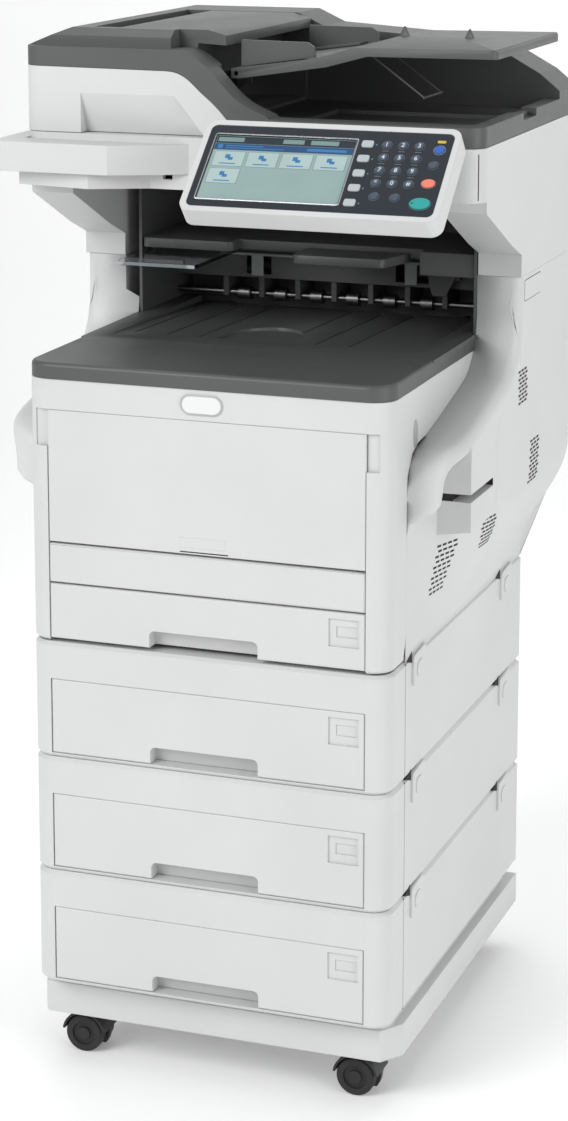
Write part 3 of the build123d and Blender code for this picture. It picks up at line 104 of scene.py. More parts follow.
def add_camera():
    data = bpy.data.cameras.new("camera")
    data.lens = CAMERA_LENS
    data.sensor_width = 36
    data.shift_y = CAMERA_SHIFT
    camera = bpy.data.objects.new("camera", data)
    right = node_box("right_side_cover")[1]
    back = node_box("rear_cover")[3]
    camera.location = at(right + CAMERA_RIGHT, back - CAMERA_AHEAD, CAMERA_HEIGHT)
    camera.rotation_euler = (math.radians(90 + CAMERA_PITCH), 0, math.radians(CAMERA_YAW))
    bpy.context.scene.collection.objects.link(camera)
    bpy.context.scene.camera = camera


# ---------------------------------------------------------------------------
# Materials
# ---------------------------------------------------------------------------
def shade(colour, factor):
    return (*[min(1.0, c * factor) for c in colour], 1)


class Surface:
    """A principled material with helpers for its procedural inputs."""

    def __init__(self, name):
        self.material = bpy.data.materials.new(name)
        self.material.use_nodes = True
        tree = self.material.node_tree
        self.nodes = tree.nodes
        self.links = tree.links
        self.shader = self.nodes["Principled BSDF"]
        self.place = self.nodes.new("ShaderNodeTexCoord").outputs["Object"]

    def put(self, socket, value):
        self.shader.inputs[socket].default_value = value

    def noise(self, scale, detail=3.0, roughness=0.5):
        node = self.nodes.new("ShaderNodeTexNoise")
        node.inputs["Scale"].default_value = scale
        node.inputs["Detail"].default_value = detail
        node.inputs["Roughness"].default_value = roughness
        self.links.new(self.place, node.inputs["Vector"])
        return node.outputs["Fac"]

    def blend(self, factor, first, second, socket="Base Color"):
        """Colour that runs from first to second with factor."""
        ramp = self.nodes.new("ShaderNodeValToRGB")
        ramp.color_ramp.elements[0].position = 0.3
        ramp.color_ramp.elements[1].position = 0.7
        ramp.color_ramp.elements[0].color = first
        ramp.color_ramp.elements[1].color = second
        self.links.new(factor, ramp.inputs["Fac"])
        self.links.new(ramp.outputs["Color"], self.shader.inputs[socket])

    def vary_roughness(self, factor, low, high):
        node = self.nodes.new("ShaderNodeMapRange")
        node.inputs["To Min"].default_value = low
        node.inputs["To Max"].default_value = high
        self.links.new(factor, node.inputs["Value"])
        self.links.new(node.outputs["Result"], self.shader.inputs["Roughness"])

    def relief(self, height, strength, distance, rounding=0.0):
        """Bump from height, over edges rounded by a small radius."""
        bump = self.nodes.new("ShaderNodeBump")
        bump.inputs["Strength"].default_value = strength
        bump.inputs["Distance"].default_value = distance
        self.links.new(height, bump.inputs["Height"])
        if rounding:
            bevel = self.nodes.new("ShaderNodeBevel")
            bevel.samples = 4
            bevel.inputs["Radius"].default_value = rounding
            self.links.new(bevel.outputs["Normal"], bump.inputs["Normal"])
        self.links.new(bump.outputs["Normal"], self.shader.inputs["Normal"])


def moulded(name, colour, roughness, grain=0.12, tone=0.03, rounding=0.0009):
    """Injection-moulded plastic: fine spark-eroded grain and faint unevenness."""
    s = Surface(name)
    s.blend(s.noise(5.0), shade(colour, 1 - tone), shade(colour, 1 + tone))
    s.vary_roughness(s.noise(40.0), roughness - 0.05, roughness + 0.05)
    s.relief(s.noise(1800.0, 2.0), grain, 0.0002, rounding)
    s.put("Specular IOR Level", 0.42)
    return s.material


def polished(name, colour, roughness, coat=0.0):
    """Glossy plastic with almost no grain."""
    s = Surface(name)
    s.blend(s.noise(8.0), shade(colour, 0.96), shade(colour, 1.04))
    s.vary_roughness(s.noise(60.0), roughness * 0.8, roughness * 1.2)
    s.relief(s.noise(300.0), 0.02, 0.0002, 0.0006)
    s.put("Coat Weight", coat)
    s.put("Coat Roughness", 0.08)
    return s.material


def metal(name, colour, roughness, rounding=0.0004):
    s = Surface(name)
    s.blend(s.noise(30.0), shade(colour, 0.93), shade(colour, 1.05))
    s.vary_roughness(s.noise(220.0), roughness * 0.8, roughness * 1.25)
    s.relief(s.noise(900.0), 0.05, 0.0001, rounding)
    s.put("Metallic", 1.0)
    return s.material


def clear(name, colour, roughness, ior=1.49):
    s = Surface(name)
    s.blend(s.noise(4.0), shade(colour, 0.97), shade(colour, 1.0))
    s.vary_roughness(s.noise(60.0), roughness, roughness + 0.04)
    s.put("Transmission Weight", 1.0)
    s.put("IOR", ior)
    return s.material


def glowing(name, colour, strength, tone=0.05):
    """A lit area of the screen."""
    s = Surface(name)
    s.blend(s.noise(25.0), shade(colour, 1 - tone), shade(colour, 1 + tone))
    s.blend(s.noise(25.0), shade(colour, 1 - tone), shade(colour, 1 + tone), "Emission Color")
    s.put("Emission Strength", strength)
    s.put("Roughness", 0.3)
    return s.material


WHITE = moulded("white_plastic", (0.6, 0.602, 0.602), 0.42)
WARM_WHITE = moulded("white_insert", (0.72, 0.725, 0.72), 0.45)
GREY = moulded("grey_plastic", (0.36, 0.37, 0.368), 0.45)
CHARCOAL = moulded("charcoal_plastic", (0.084, 0.086, 0.086), 0.42, grain=0.3, tone=0.06)
BLACK = moulded("black_plastic", (0.016, 0.016, 0.017), 0.4, tone=0.1)
SHADOW = moulded("shadow_gap", (0.01, 0.01, 0.011), 0.7)
RUBBER = moulded("black_rubber", (0.018, 0.018, 0.018), 0.62, grain=0.4)
STEEL = metal("steel", (0.62, 0.62, 0.63), 0.28)
SHAFT = metal("dark_shaft", (0.2, 0.2, 0.205), 0.36)
SHEET = metal("zinc_sheet", (0.5, 0.51, 0.52), 0.42)
CLEAR = clear("clear_plastic", (0.93, 0.97, 0.97), 0.02)
GLASS = clear("platen", (0.84, 0.93, 0.9), 0.01, 1.52)
PANEL = polished("panel_gloss", (0.012, 0.018, 0.026), 0.2, 0.4)
KEY_DARK = moulded("key_dark", (0.05, 0.075, 0.11), 0.4)
KEY_GREY = moulded("key_grey", (0.42, 0.46, 0.48), 0.4)
KEY_BLUE = moulded("key_blue", (0.03, 0.11, 0.42), 0.35)
KEY_RED = moulded("key_red", (0.78, 0.2, 0.14), 0.35)
KEY_TEAL = moulded("key_teal", (0.02, 0.33, 0.31), 0.35)
PRINT = moulded("key_print", (0.8, 0.82, 0.84), 0.5)
LCD = glowing("screen", (0.24, 0.34, 0.33), 0.1)
LCD_HEAD = glowing("screen_header", (0.012, 0.02, 0.03), 0.05)
LCD_ROW = glowing("screen_row", (0.012, 0.06, 0.16), 0.06)
LCD_TILE = glowing("screen_tile", (0.34, 0.45, 0.44), 0.1)
LCD_LINE = glowing("screen_line", (0.16, 0.25, 0.25), 0.05)
LCD_MARK = glowing("screen_mark", (0.03, 0.16, 0.36), 0.1)
RING = moulded("key_ring", (0.2, 0.22, 0.25), 0.4)
YELLOW = moulded("indicator_yellow", (0.6, 0.42, 0.04), 0.4)
GREEN = moulded("indicator_green", (0.01, 0.12, 0.11), 0.3)

FINISH = {
    "white_plastic": WHITE,
    "grey_plastic": GREY,
    "charcoal_plastic": CHARCOAL,
    "black_plastic": BLACK,
    "black_rubber": RUBBER,
    "steel": STEEL,
    "clear_plastic": CLEAR,
    "platen": GLASS,
    "panel_gloss": PANEL,
    "screen": LCD,
    "key_dark": KEY_DARK,
    "key_grey": KEY_GREY,
    "key_blue": KEY_BLUE,
    "key_red": KEY_RED,
    "key_teal": KEY_TEAL,
}
SLOT_OF = {part["node"]: part["material_slot"] for part in frame["record"]["subparts"]}


def dress_nodes():
    """Give every CAD node its finish."""
    for name, node in NODES.items():
        node.data.materials.clear()
        node.data.materials.append(FINISH[SLOT_OF[name]])
    NODES["main_frame"].data.materials[0] = SHEET
    NODES["exit_rollers"].data.materials[0] = SHAFT


# ---------------------------------------------------------------------------
# Mesh helpers
# ---------------------------------------------------------------------------
def add_piece(name, mesh, material, body):
    """Link a mesh as a piece of the object that rides on a CAD body."""
    piece = bpy.data.objects.new(name, mesh)
    bpy.context.scene.collection.objects.link(piece)
    mesh.materials.append(material)
    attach(piece, body)
    return piece


def mesh_from(bm, name):
    """A mesh with outward faces, made from a bmesh that is then let go."""
    bmesh.ops.recalc_face_normals(bm, faces=bm.faces)
    mesh = bpy.data.meshes.new(name)
    bm.to_mesh(mesh)
    bm.free()
    return mesh


def smooth(mesh, degrees=32):
    """Smooth shading that stays sharp at edges steeper than the given angle."""
    mesh.shade_smooth()
    mesh.set_sharp_from_angle(angle=math.radians(degrees))


def round_edges(piece, width, segments=3):
    """Rounded edges on a rigid piece, in millimetres."""
    bevel = piece.modifiers.new("rounding", "BEVEL")
    bevel.width = width * MM
    bevel.segments = segments
    bevel.limit_method = "ANGLE"
    bevel.angle_limit = math.radians(32)
    bevel.use_clamp_overlap = True
    bevel.harden_normals = True
    smooth(piece.data, 80)
    return piece


def rounded_outline(points, radius, steps=5):
    """The outline with each corner replaced by an arc of about the given radius."""
    result = []
    count = len(points)
    for i, corner in enumerate(points):
        corner = Vector(corner)
        before = Vector(points[i - 1]) - corner
        after = Vector(points[(i + 1) % count]) - corner
        reach = min(radius, before.length * 0.45, after.length * 0.45)
        start = corner + before.normalized() * reach
        end = corner + after.normalized() * reach
        for k in range(steps + 1):
            t = k / steps
            result.append(tuple(start * (1 - t) ** 2 + corner * 2 * t * (1 - t) + end * t * t))
    return result


def prism_mesh(name, outline, plane, low, high):
    """Outline in millimetres, extruded between two planes. plane is xz, yz or xy."""
    place = {
        "xz": lambda a, b, c: at(a, c, b),
        "yz": lambda a, b, c: at(c, a, b),
        "xy": lambda a, b, c: at(a, b, c),
    }[plane]
    bm = bmesh.new()
    rings = [[bm.verts.new(place(a, b, c)) for a, b in outline] for c in (low, high)]
    count = len(outline)
    bm.faces.new(rings[0])
    bm.faces.new(rings[1])
    for i in range(count):
        j = (i + 1) % count
        bm.faces.new((rings[0][i], rings[0][j], rings[1][j], rings[1][i]))
    return mesh_from(bm, name)


def plate(name, outline, plane, low, high, material, body, slot, rounding=0.6):
    """A flat piece with rounded edges."""
    mesh = prism_mesh(name, outline, plane, low, high)
    return round_edges(add_piece(name, mesh, material, body), rounding)


def box_outline(a0, a1, b0, b1):
    return [(a0, b0), (a1, b0), (a1, b1), (a0, b1)]


def softened(node, width):
    """A copy of a CAD node with rounded edges, which stands for it."""
    source = NODES[node]
    mesh = source.data.copy()
    bm = bmesh.new()
    bm.from_mesh(mesh)
    bmesh.ops.remove_doubles(bm, verts=bm.verts, dist=2e-6)
    bmesh.ops.dissolve_limit(bm, angle_limit=math.radians(0.6), verts=bm.verts, edges=bm.edges)
    bm.to_mesh(mesh)
    bm.free()
    mesh.materials.clear()
    slot = SLOT_OF[node]
    piece = add_piece(f"{node}_shell", mesh, FINISH[slot], source["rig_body"])
    round_edges(piece, width, 2)
    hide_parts(node)


# ---------------------------------------------------------------------------
# Side covers
# ---------------------------------------------------------------------------
SEAM_Y = 64.1                # seam with the front pillar
BODY_X = 226.0               # plane of the lower body's sides
COVER_LOW = 548.0
HEEL_Y, HEEL_LOW, HEEL_HIGH = 573.0, 606.0, 655.0
FLARE_LOW, FLARE_HIGH = 556.0, 704.0
FLARE_DEEP = 127.0           # the flare reaches its full width this far behind the seam
COLUMN_Y = 348.0
COLUMN_LOW = 868.0
COLUMN_TOP = 959.6
BACK_Y = 603.9
EDGE_R = 13.0                # soft outer edge along the sweep
FLARE_SLOW_Y = 290.0         # below the ledge the full width comes only here
LEDGE_NEAR, LEDGE_FAR = 14.0, 36.0
GRIP_WALL_Y, GRIP_BACK_Y = 138.0, 250.0
GRIP_FOOT, GRIP_LOW = 684.0, 690.0
SLOT_LOW, SLOT_HIGH = 726.0, 735.0
COLUMN_WIDE = 55.0
SHEET_THICK = 1.6
HATCH_Y, HATCH_Z = (364.0, 440.0), (927.0, 954.0)
RIGHT_REACH = node_box("right_side_cover")[1] - 0.4
SLOT_END_Y, SLOT_FLOOR_X = 232.0, 258.0


def bezier(a, b, c, d, steps):
    """Points along a cubic curve, the first end left out."""
    result = []
    for k in range(1, steps + 1):
        t = k / steps
        u = 1 - t
        result.append(tuple(
            u ** 3 * a[i] + 3 * u * u * t * b[i] + 3 * u * t * t * c[i] + t ** 3 * d[i] for i in (0, 1)
        ))
    return result


def sweep_line():
    """Top edge of a side cover in (y, z): pillar, ledge and the front of the column."""
    line = [(SEAM_Y, 742.0)]
    line += bezier(line[-1], (64.6, 775), (76, 793), (108, 798.5), 14)
    line += bezier(line[-1], (150, 804), (215, 818), (296, 838), 12)
    line += bezier(line[-1], (325, 846), (347, 872), (COLUMN_Y, 915), 14)
    return line + [(COLUMN_Y + 0.01, COLUMN_TOP)]


def edge_distance(y, z, line):
    """Distance in the side plane from a point to the sweep line."""
    best = 1e9
    for (y0, z0), (y1, z1) in zip(line, line[1:]):
        dy, dz = y1 - y0, z1 - z0
        t = ((y - y0) * dy + (z - z0) * dz) / (dy * dy + dz * dz)
        t = min(1.0, max(0.0, t))
        best = min(best, math.hypot(y - y0 - t * dy, z - z0 - t * dz))
    return best


def ease(value, low, high):
    """Smooth step from 0 at low to 1 at high."""
    t = min(1.0, max(0.0, (value - low) / (high - low)))
    return t * t * (3 - 2 * t)


def superellipse(t):
    t = min(1.0, max(0.0, t))
    return (1 - (1 - t) ** 3) ** (1 / 3)


def flare_x(y, z, reach, line):
    """How far the cover stands out at one place on the side."""
    away = edge_distance(y, z, line)
    wide = superellipse((y - SEAM_Y) / FLARE_DEEP)
    slow = ease(y, SEAM_Y, FLARE_SLOW_Y)
    spread = wide + (slow - wide) * ease(away, LEDGE_NEAR, LEDGE_FAR)
    out = (reach - BODY_X) * spread * ease(z, FLARE_LOW, FLARE_HIGH)
    near = min(1.0, away / EDGE_R)
    drop = EDGE_R * (1 - math.sqrt(1 - (1 - near) ** 2))
    if y > BACK_Y - 6:
        back = (y - BACK_Y + 6) / 6
        drop += 6 * (1 - math.sqrt(max(0.0, 1 - back * back)))
    return BODY_X + max(0.0, out - drop)


def cover_columns(grip):
    """Places (y, top) of the columns of points, from the front pillar to the back."""
    columns = sweep_line()
    columns += [(y, COLUMN_TOP) for y in (350, 352, 354, 357, 361, 370, 385)]
    columns += [(float(y), COLUMN_TOP) for y in range(410, 600, 20)]
    columns += [(y, COLUMN_TOP) for y in (598, 600, 602, 603.2, BACK_Y)]
    if not grip:
        return columns
    for y in (GRIP_WALL_Y - 0.05, GRIP_WALL_Y + 0.05, SLOT_END_Y, SLOT_END_Y + 0.3, GRIP_BACK_Y):
        after = next(i for i, point in enumerate(columns) if point[0] > y)
        (y0, z0), (y1, z1) = columns[after - 1], columns[after]
        columns.insert(after, (y, z0 + (z1 - z0) * (y - y0) / (y1 - y0)))
    return columns


def cover_rows(y, top):
    """Heights of one column of points, from the foot to the sweep line."""
    low = COVER_LOW
    if y > HEEL_Y:
        low = HEEL_LOW + (HEEL_HIGH - HEEL_LOW) * (y - HEEL_Y) / (BACK_Y - HEEL_Y)
    fixed = [*range(560, 690, 10), GRIP_FOOT, GRIP_LOW, 700, 713]
    fixed += [SLOT_LOW - 0.4, SLOT_LOW, SLOT_HIGH, SLOT_HIGH + 0.4]
    rise = [0.2, 0.4, 0.55, 0.65, 0.73, 0.8, 0.86, 0.9, 0.94, 0.97, 0.99, 1.0]
    rows = [low] + [max(low + 0.01 * i, z) for i, z in enumerate(fixed, start=1)]
    return rows + [SLOT_HIGH + 0.4 + (top - SLOT_HIGH - 0.4) * t for t in rise]


def cover_x(y, z, reach, line, grip):
    """How far the cover stands out, with the block and the slot of the hand grip."""
    x = flare_x(y, z, reach, line)
    if not grip:
        return x
    if GRIP_WALL_Y < y <= GRIP_BACK_Y:
        lift = min(1.0, max(0.0, (z - GRIP_FOOT) / (GRIP_LOW - GRIP_FOOT)))
        x += max(0.0, reach - x) * lift * (edge_distance(y, z, line) > EDGE_R)
    if SLOT_LOW <= z <= SLOT_HIGH and GRIP_WALL_Y < y <= SLOT_END_Y:
        x = SLOT_FLOOR_X
    return x


def in_grip_slot(y0, y1, z0, z1):
    deep = GRIP_WALL_Y - 0.1 <= y0 and y1 <= SLOT_END_Y + 0.4
    return deep and z0 >= SLOT_LOW - 0.01 and z1 <= SLOT_HIGH + 0.01


def cover_sheet(name, side, reach, grip):
    """Mesh of one side cover: its outer skin, its ledge and a narrow strip of its back."""
    line = sweep_line()
    inner_column = reach - COLUMN_WIDE
    bm = bmesh.new()
    grid = []
    for y, top in cover_columns(grip):
        heights = cover_rows(y, top)
        row = [bm.verts.new(at(side * cover_x(y, z, reach, line, grip), y, z)) for z in heights]
        edge_x = inner_column if (y >= COLUMN_Y and inner_column > BODY_X + 1) else BODY_X - 0.5
        row.append(bm.verts.new(at(side * edge_x, y, top)))
        grid.append((y, heights, row))
    for (y0, heights, a), (y1, _, b) in zip(grid, grid[1:]):
        for k in range(len(a) - 1):
            face = bm.faces.new((a[k], b[k], b[k + 1], a[k + 1]))
            # Faces on the floor of the grip's slot take the second material: painted shade.
            if grip and k < len(heights) - 1 and in_grip_slot(y0, y1, heights[k], heights[k + 1]):
                face.material_index = 1
    last = grid[-1][2]
    inset = at(side * (BODY_X - 3), BACK_Y, 0).x
    back = [bm.verts.new((inset, v.co.y, v.co.z)) for v in last[:-1]]
    for k in range(len(back) - 1):
        bm.faces.new((last[k], back[k], back[k + 1], last[k + 1]))
    bmesh.ops.remove_doubles(bm, verts=bm.verts, dist=1e-7)
    return mesh_from(bm, name)


def side_cover(side, reach, grip):
    """One side cover: sheet with a sweep up to the column, its ledge and its inner walls."""
    name = "right_cover_shell" if side > 0 else "left_cover_shell"
    shell = add_piece(name, cover_sheet("side_cover", side, reach, grip), WHITE, "base")
    # The second material, shadow_gap, is painted shade on the floor of the grip's slot.
    shell.data.materials.append(SHADOW)
    thick = shell.modifiers.new("wall", "SOLIDIFY")
    thick.thickness = SHEET_THICK * MM
    thick.offset = -1
    smooth(shell.data, 30)
    inner_column = reach - COLUMN_WIDE
    front, back = COLUMN_Y + 0.5, BACK_Y - 1
    ledge_top = COLUMN_LOW - 0.6
    column_wall = [(front, COLUMN_LOW), (back, COLUMN_LOW), (back, COLUMN_TOP), (front, COLUMN_TOP)]
    ledge_wall = [(135, 786), (290, 806), (352, 828), (352, ledge_top), (135, ledge_top)]
    walls = ((inner_column, inner_column + 2, column_wall), (BODY_X - 4, BODY_X - 1, ledge_wall))
    for k, (x0, x1, outline) in enumerate(walls):
        mesh = prism_mesh(f"{name}_wall_{k}", outline, "yz", *sorted((side * x0, side * x1)))
        round_edges(add_piece(f"{name}_wall_{k}", mesh, WHITE, "base"), 0.5)
    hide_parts("right_side_cover" if side > 0 else "left_side_cover")


def dashes(name, places, reach):
    """Short dark plates (y, z, length) that lie on the flare of the right side, painted shade in place of
    open slots.
    """
    line = sweep_line()
    bm = bmesh.new()
    for y, z, length in places:
        corners = [(y, z - 1.4), (y + length, z - 1.4), (y + length, z + 1.4), (y, z + 1.4)]
        rings = []
        for lift in (-0.8, 0.14):
            ring = [at(flare_x(cy, cz, reach, line) + lift, cy, cz) for cy, cz in corners]
            rings.append([bm.verts.new(corner) for corner in ring])
            bm.faces.new(rings[-1])
        for i in range(4):
            j = (i + 1) % 4
            bm.faces.new((rings[0][i], rings[0][j], rings[1][j], rings[1][i]))
    return add_piece(name, mesh_from(bm, name), SHADOW, "base")


ROW_STAGGER = 0.35           # every second row is moved by this part of a slot's pitch
SLOT_SHARE = 0.74            # part of the pitch that is open


def add_vents(reach):
    """Four groups of slanted rows of cooling slots on the right side."""
    # front and rear ends of the top row, its height and the last row's, rows, lean and slots in a row
    groups = {
        "vent_low_front": (143, 187, 668, 609, 10, -6, 4),
        "vent_low_rear": (228, 268, 681, 640, 8, 26, 4),
        "vent_rear": (404, 447, 742, 690, 11, -6, 3),
        "vent_upper": (342, 383, 842, 802, 9, 2, 3),
    }
    for name, (y0, y1, z_top, z_low, rows, lean, count) in groups.items():
        table = []
        for k in range(rows):
            t = k / (rows - 1)
            z = z_top + (z_low - z_top) * t
            front = y0 + lean * t
            width = (y1 - y0) / count
            shift = (k % 2) * (y1 - y0) / count * ROW_STAGGER
            table += [(front + shift + c * width, z, width * SLOT_SHARE) for c in range(count)]
        dashes(name, table, reach)


def pill(x, z, width, height):
    """Outline of a long shape with round ends in the front plane."""
    steps = 10
    radius = height / 2
    points = []
    for centre, first in ((x + width / 2 - radius, -90), (x - width / 2 + radius, 90)):
        for k in range(steps + 1):
            angle = math.radians(first + 180 * k / steps)
            points.append((centre + radius * math.cos(angle), z + radius * math.sin(angle)))
    return points


BADGE_X, BADGE_Z = -2.0, 850.0
RECESS_X, RECESS_Z = (197.8, 213.0), (786.0, 832.0)


def add_front_details():
    """Badge without a mark, blank name plate, finger slit, grip recesses and bright clear edge."""
    rim = pill(BADGE_X, BADGE_Z, 52.6, 24.6)
    face = pill(BADGE_X, BADGE_Z, 48, 20)
    plate("badge_rim", rim, "xz", -1.3, -0.6, SHEET, "front_cover", "steel", 0.2)
    plate("badge_face", face, "xz", -1.48, -0.8, WARM_WHITE, "front_cover", "white_plastic", 0.15)
    low = node_box("mp_tray")[4]
    label = box_outline(-31, 27, low + 8, low + 20)
    slit = box_outline(-30, 30, low + 2.2, low + 3.6)
    plate("name_plate", label, "xz", -0.3, 0.4, WHITE, "mp_tray", "white_plastic", 0.2)
    # Painted shade: the slit is a flat black plate that stands for the shade in a thin groove below the
    # name plate.
    plate("mp_slit", slit, "xz", -0.15, 0.6, SHADOW, "mp_tray", "black_plastic", 0.1)
    for side, word in ((-1, "left"), (1, "right")):
        outline = box_outline(*sorted(side * x for x in RECESS_X), *RECESS_Z)
        plate(f"recess_floor_{word}", outline, "xz", 5, 6.5, WHITE, "front_cover", "white_plastic", 0.2)
    x0, x1, y0 = node_box("clear_extension")[:3]
    edge = box_outline(x0 + 0.5, x1 - 0.5, 962.4, 966.8)
    plate("clear_edge", edge, "xz", y0 + 0.1, y0 + 0.9, KEY_GREY, "clear_extension", "key_grey", 0.2)


def add_side_seams():
    """Seams between the front corners and the sides of the tray units, and the column's hatch."""
    for unit in (2, 3, 4):
        low, high = node_box(f"tray_housing_{unit}")[4:]
        for side, word in ((-1, "left"), (1, "right")):
            x = sorted((side * (BODY_X - 1), side * (BODY_X + 0.12)))
            outline = box_outline(SEAM_Y - 0.35, SEAM_Y + 0.35, low + 2, high - 2)
            # Painted shade: each seam is a thin black strip that stands for the shade in the joint.
            plate(f"unit_seam_{unit}_{word}", outline, "yz", *x, SHADOW, "base", "black_plastic", 0.05)
    low_x = RIGHT_REACH - 1
    for name, inset, proud, material, slot, rounding in (
        # Painted shade: the black plate under the door shows as a thin dark border, the shade in the
        # door's gap.
        ("hatch_gap", 0.0, 0.1, SHADOW, "black_plastic", 0.05),
        ("hatch_door", 0.8, 0.35, WHITE, "white_plastic", 0.2),
    ):
        (y0, y1), (z0, z1) = HATCH_Y, HATCH_Z
        outline = rounded_outline(box_outline(y0 + inset, y1 - inset, z0 + inset, z1 - inset), 3, 3)
        plate(name, outline, "yz", low_x, RIGHT_REACH + proud, material, "base", slot, rounding)


LATCH_PLACES = (("front", 88.0), ("rear", 470.0))


def add_latches():
    """Latch plates that lock each tray unit to the one above it."""
    heights = [node_box(f"tray_housing_{unit}")[5] for unit in (2, 3, 4)]
    for side, word in ((-1, "left"), (1, "right")):
        for row, z in enumerate(heights, start=1):
            for place, y in LATCH_PLACES:
                name = f"latch_{place}_{row}_{word}"
                cover = rounded_outline([(y, z - 36), (y + 48, z - 33), (y + 48, z + 5), (y, z + 1)], 4, 3)
                tab = [(y + 12, z - 29), (y + 34, z - 27), (y + 34, z - 8), (y + 12, z - 10)]
                tab = rounded_outline(tab, 8, 4)
                wedge = [(y - 22, z + 0.5), (y, z + 7), (y, z - 7)]
                for part, outline, x0, x1, material, slot, rounding in (
                    (name, cover, -1.5, 3.0, WHITE, "white_plastic", 0.9),
                    (f"{name}_tab", tab, 2.5, 4.2, WHITE, "white_plastic", 0.7),
                    # Painted shade: the notch is a flat black wedge that stands for the shade in the
                    # latch's notch.
                    (f"{name}_notch", wedge, -2.5, 0.3, SHADOW, "black_plastic", 0.1),
                ):
                    x = sorted((side * (BODY_X + x0), side * (BODY_X + x1)))
                    plate(part, outline, "yz", *x, material, "base", slot, rounding)


# ---------------------------------------------------------------------------
# Operator panel
# ---------------------------------------------------------------------------
PANEL_BOX = node_box("panel_face")
PANEL_TILT = math.radians(42)
FACE_Y, FACE_Z = 28.0, 1077.0        # lower edge of the panel's face
SCREEN_TOP = -1.2                    # the screen lies this far below the face
KEY_TOP = 1.5
NUMBER_U = (218.0, 237.5, 257.0)
NUMBER_V = (103.0, 84.0, 65.0, 46.0)
EXTRA_KEYS = ((221.0, 26.0), (245.5, 25.5), (279.5, 75.5))
MODE_V = (103, 81, 59, 37, 15)
RING_R, RING_WIDE = 5.7, 0.5
DIGIT_HIGH = 8.2


def on_panel(u, v, w):
    """A point across, up the slope of and above the panel's face."""
    y = FACE_Y + v * math.cos(PANEL_TILT) - w * math.sin(PANEL_TILT)
    z = FACE_Z + v * math.sin(PANEL_TILT) + w * math.cos(PANEL_TILT)
    return at(PANEL_BOX[0] + u, y, z)


def loft(bm, rings, closed_ends=True):
    """Faces between rings of the same number of points."""
    loops = [[bm.verts.new(point) for point in ring] for ring in rings]
    count = len(loops[0])
    for a, b in zip(loops, loops[1:]):
        for i in range(count):
            j = (i + 1) % count
            bm.faces.new((a[i], a[j], b[j], b[i]))
    if closed_ends:
        bm.faces.new(loops[0])
        bm.faces.new(loops[-1])


def panel_tiles(name, tiles, w0, w1, material, body="panel", radius=0.8):
    """Thin rounded tiles (u0, u1, v0, v1) that lie on the panel, as one piece."""
    bm = bmesh.new()
    for u0, u1, v0, v1 in tiles:
        outline = rounded_outline(box_outline(u0, u1, v0, v1), radius, 3)
        inner = rounded_outline(box_outline(u0 + 0.12, u1 - 0.12, v0 + 0.12, v1 - 0.12), radius, 3)
        levels = ((outline, w0), (outline, w1 - 0.1), (inner, w1))
        loft(bm, [[on_panel(u, v, w) for u, v in ring] for ring, w in levels])
    return add_piece(name, mesh_from(bm, name), material, body)


def circle(u, v, ru, rv):
    steps = 28
    turn = [2 * math.pi * k / steps for k in range(steps)]
    return [(u + ru * math.cos(a), v + rv * math.sin(a)) for a in turn]


def panel_rings(name, rings, w, material):
    """Thin raised rings (u, v, radius, radius) around keys, as one piece."""
    bm = bmesh.new()
    for u, v, ru, rv in rings:
        section = [(0, w - 0.4), (0, w), (RING_WIDE, w), (RING_WIDE, w - 0.4)]
        hoops = []
        for out, lift in section:
            hoops.append([on_panel(a, b, lift) for a, b in circle(u, v, ru + out, rv + out)])
        loft(bm, hoops + hoops[:1], False)
    bmesh.ops.remove_doubles(bm, verts=bm.verts, dist=1e-6)
    return add_piece(name, mesh_from(bm, name), material, "panel")


def add_numerals():
    """Digits on the number keys."""
    bm = bmesh.new()
    turn = Matrix.Rotation(PANEL_TILT, 4, "X")
    for k, digit in enumerate("123456789*0#"):
        curve = bpy.data.curves.new("digit", "FONT")
        curve.body = digit
        curve.size = DIGIT_HIGH * MM
        curve.extrude = 0.05 * MM
        curve.align_x = "CENTER"
        curve.align_y = "CENTER"
        text = bpy.data.objects.new("digit", curve)
        mesh = bpy.data.meshes.new_from_object(text)
        place = on_panel(NUMBER_U[k % 3], NUMBER_V[k // 3], KEY_TOP + 0.02)
        mesh.transform(Matrix.Translation(place) @ turn)
        bm.from_mesh(mesh)
        bpy.data.objects.remove(text)
        bpy.data.meshes.remove(mesh)
        bpy.data.curves.remove(curve)
    return add_piece("key_numerals", mesh_from(bm, "key_numerals"), PRINT, "number_keys")


def tile_marks(u0, u1, v0):
    """Two overlapping squares and a bar, in place of a tile's picture and its words."""
    middle = (u0 + u1) / 2
    back = (middle - 5, middle + 1, v0 + 12, v0 + 18)
    front = (middle - 1, middle + 5, v0 + 9.5, v0 + 14)
    return [back, front, (middle - 10, middle + 10, v0 + 3.4, v0 + 5)]


def add_screen():
    """Screen contents without words: header, tabs, a row and five tiles."""
    w = SCREEN_TOP
    tabs = [(12, 44, 99.5, 106), (92, 118, 99.5, 106), (126, 160, 99.5, 106)]
    tiles = [(13 + 41.5 * k, 51.5 + 41.5 * k, 62, 85) for k in range(4)] + [(13, 51.5, 36, 59)]
    faces = [(a + 0.7, b - 0.7, c + 0.7, d - 0.7) for a, b, c, d in tiles]
    marks = [mark for a, b, c, _ in tiles for mark in tile_marks(a, b, c)]
    marks += [(14, 20, 89, 95), (24, 70, 92.6, 94), (24, 96, 89.4, 90.6), (124, 172, 89.6, 93.4)]
    panel_tiles("screen_header", [(10, 180, 97, 108)], w, w + 0.16, LCD_HEAD)
    panel_tiles("screen_tabs", tabs, w + 0.1, w + 0.3, LCD_LINE)
    panel_tiles("screen_row", [(10, 180, 87, 96.6)], w, w + 0.18, LCD_ROW)
    panel_tiles("screen_tile_edges", tiles, w, w + 0.16, LCD_LINE)
    panel_tiles("screen_tiles", faces, w + 0.1, w + 0.26, LCD_TILE)
    panel_tiles("screen_marks", marks, w + 0.2, w + 0.34, LCD_MARK, radius=0.4)


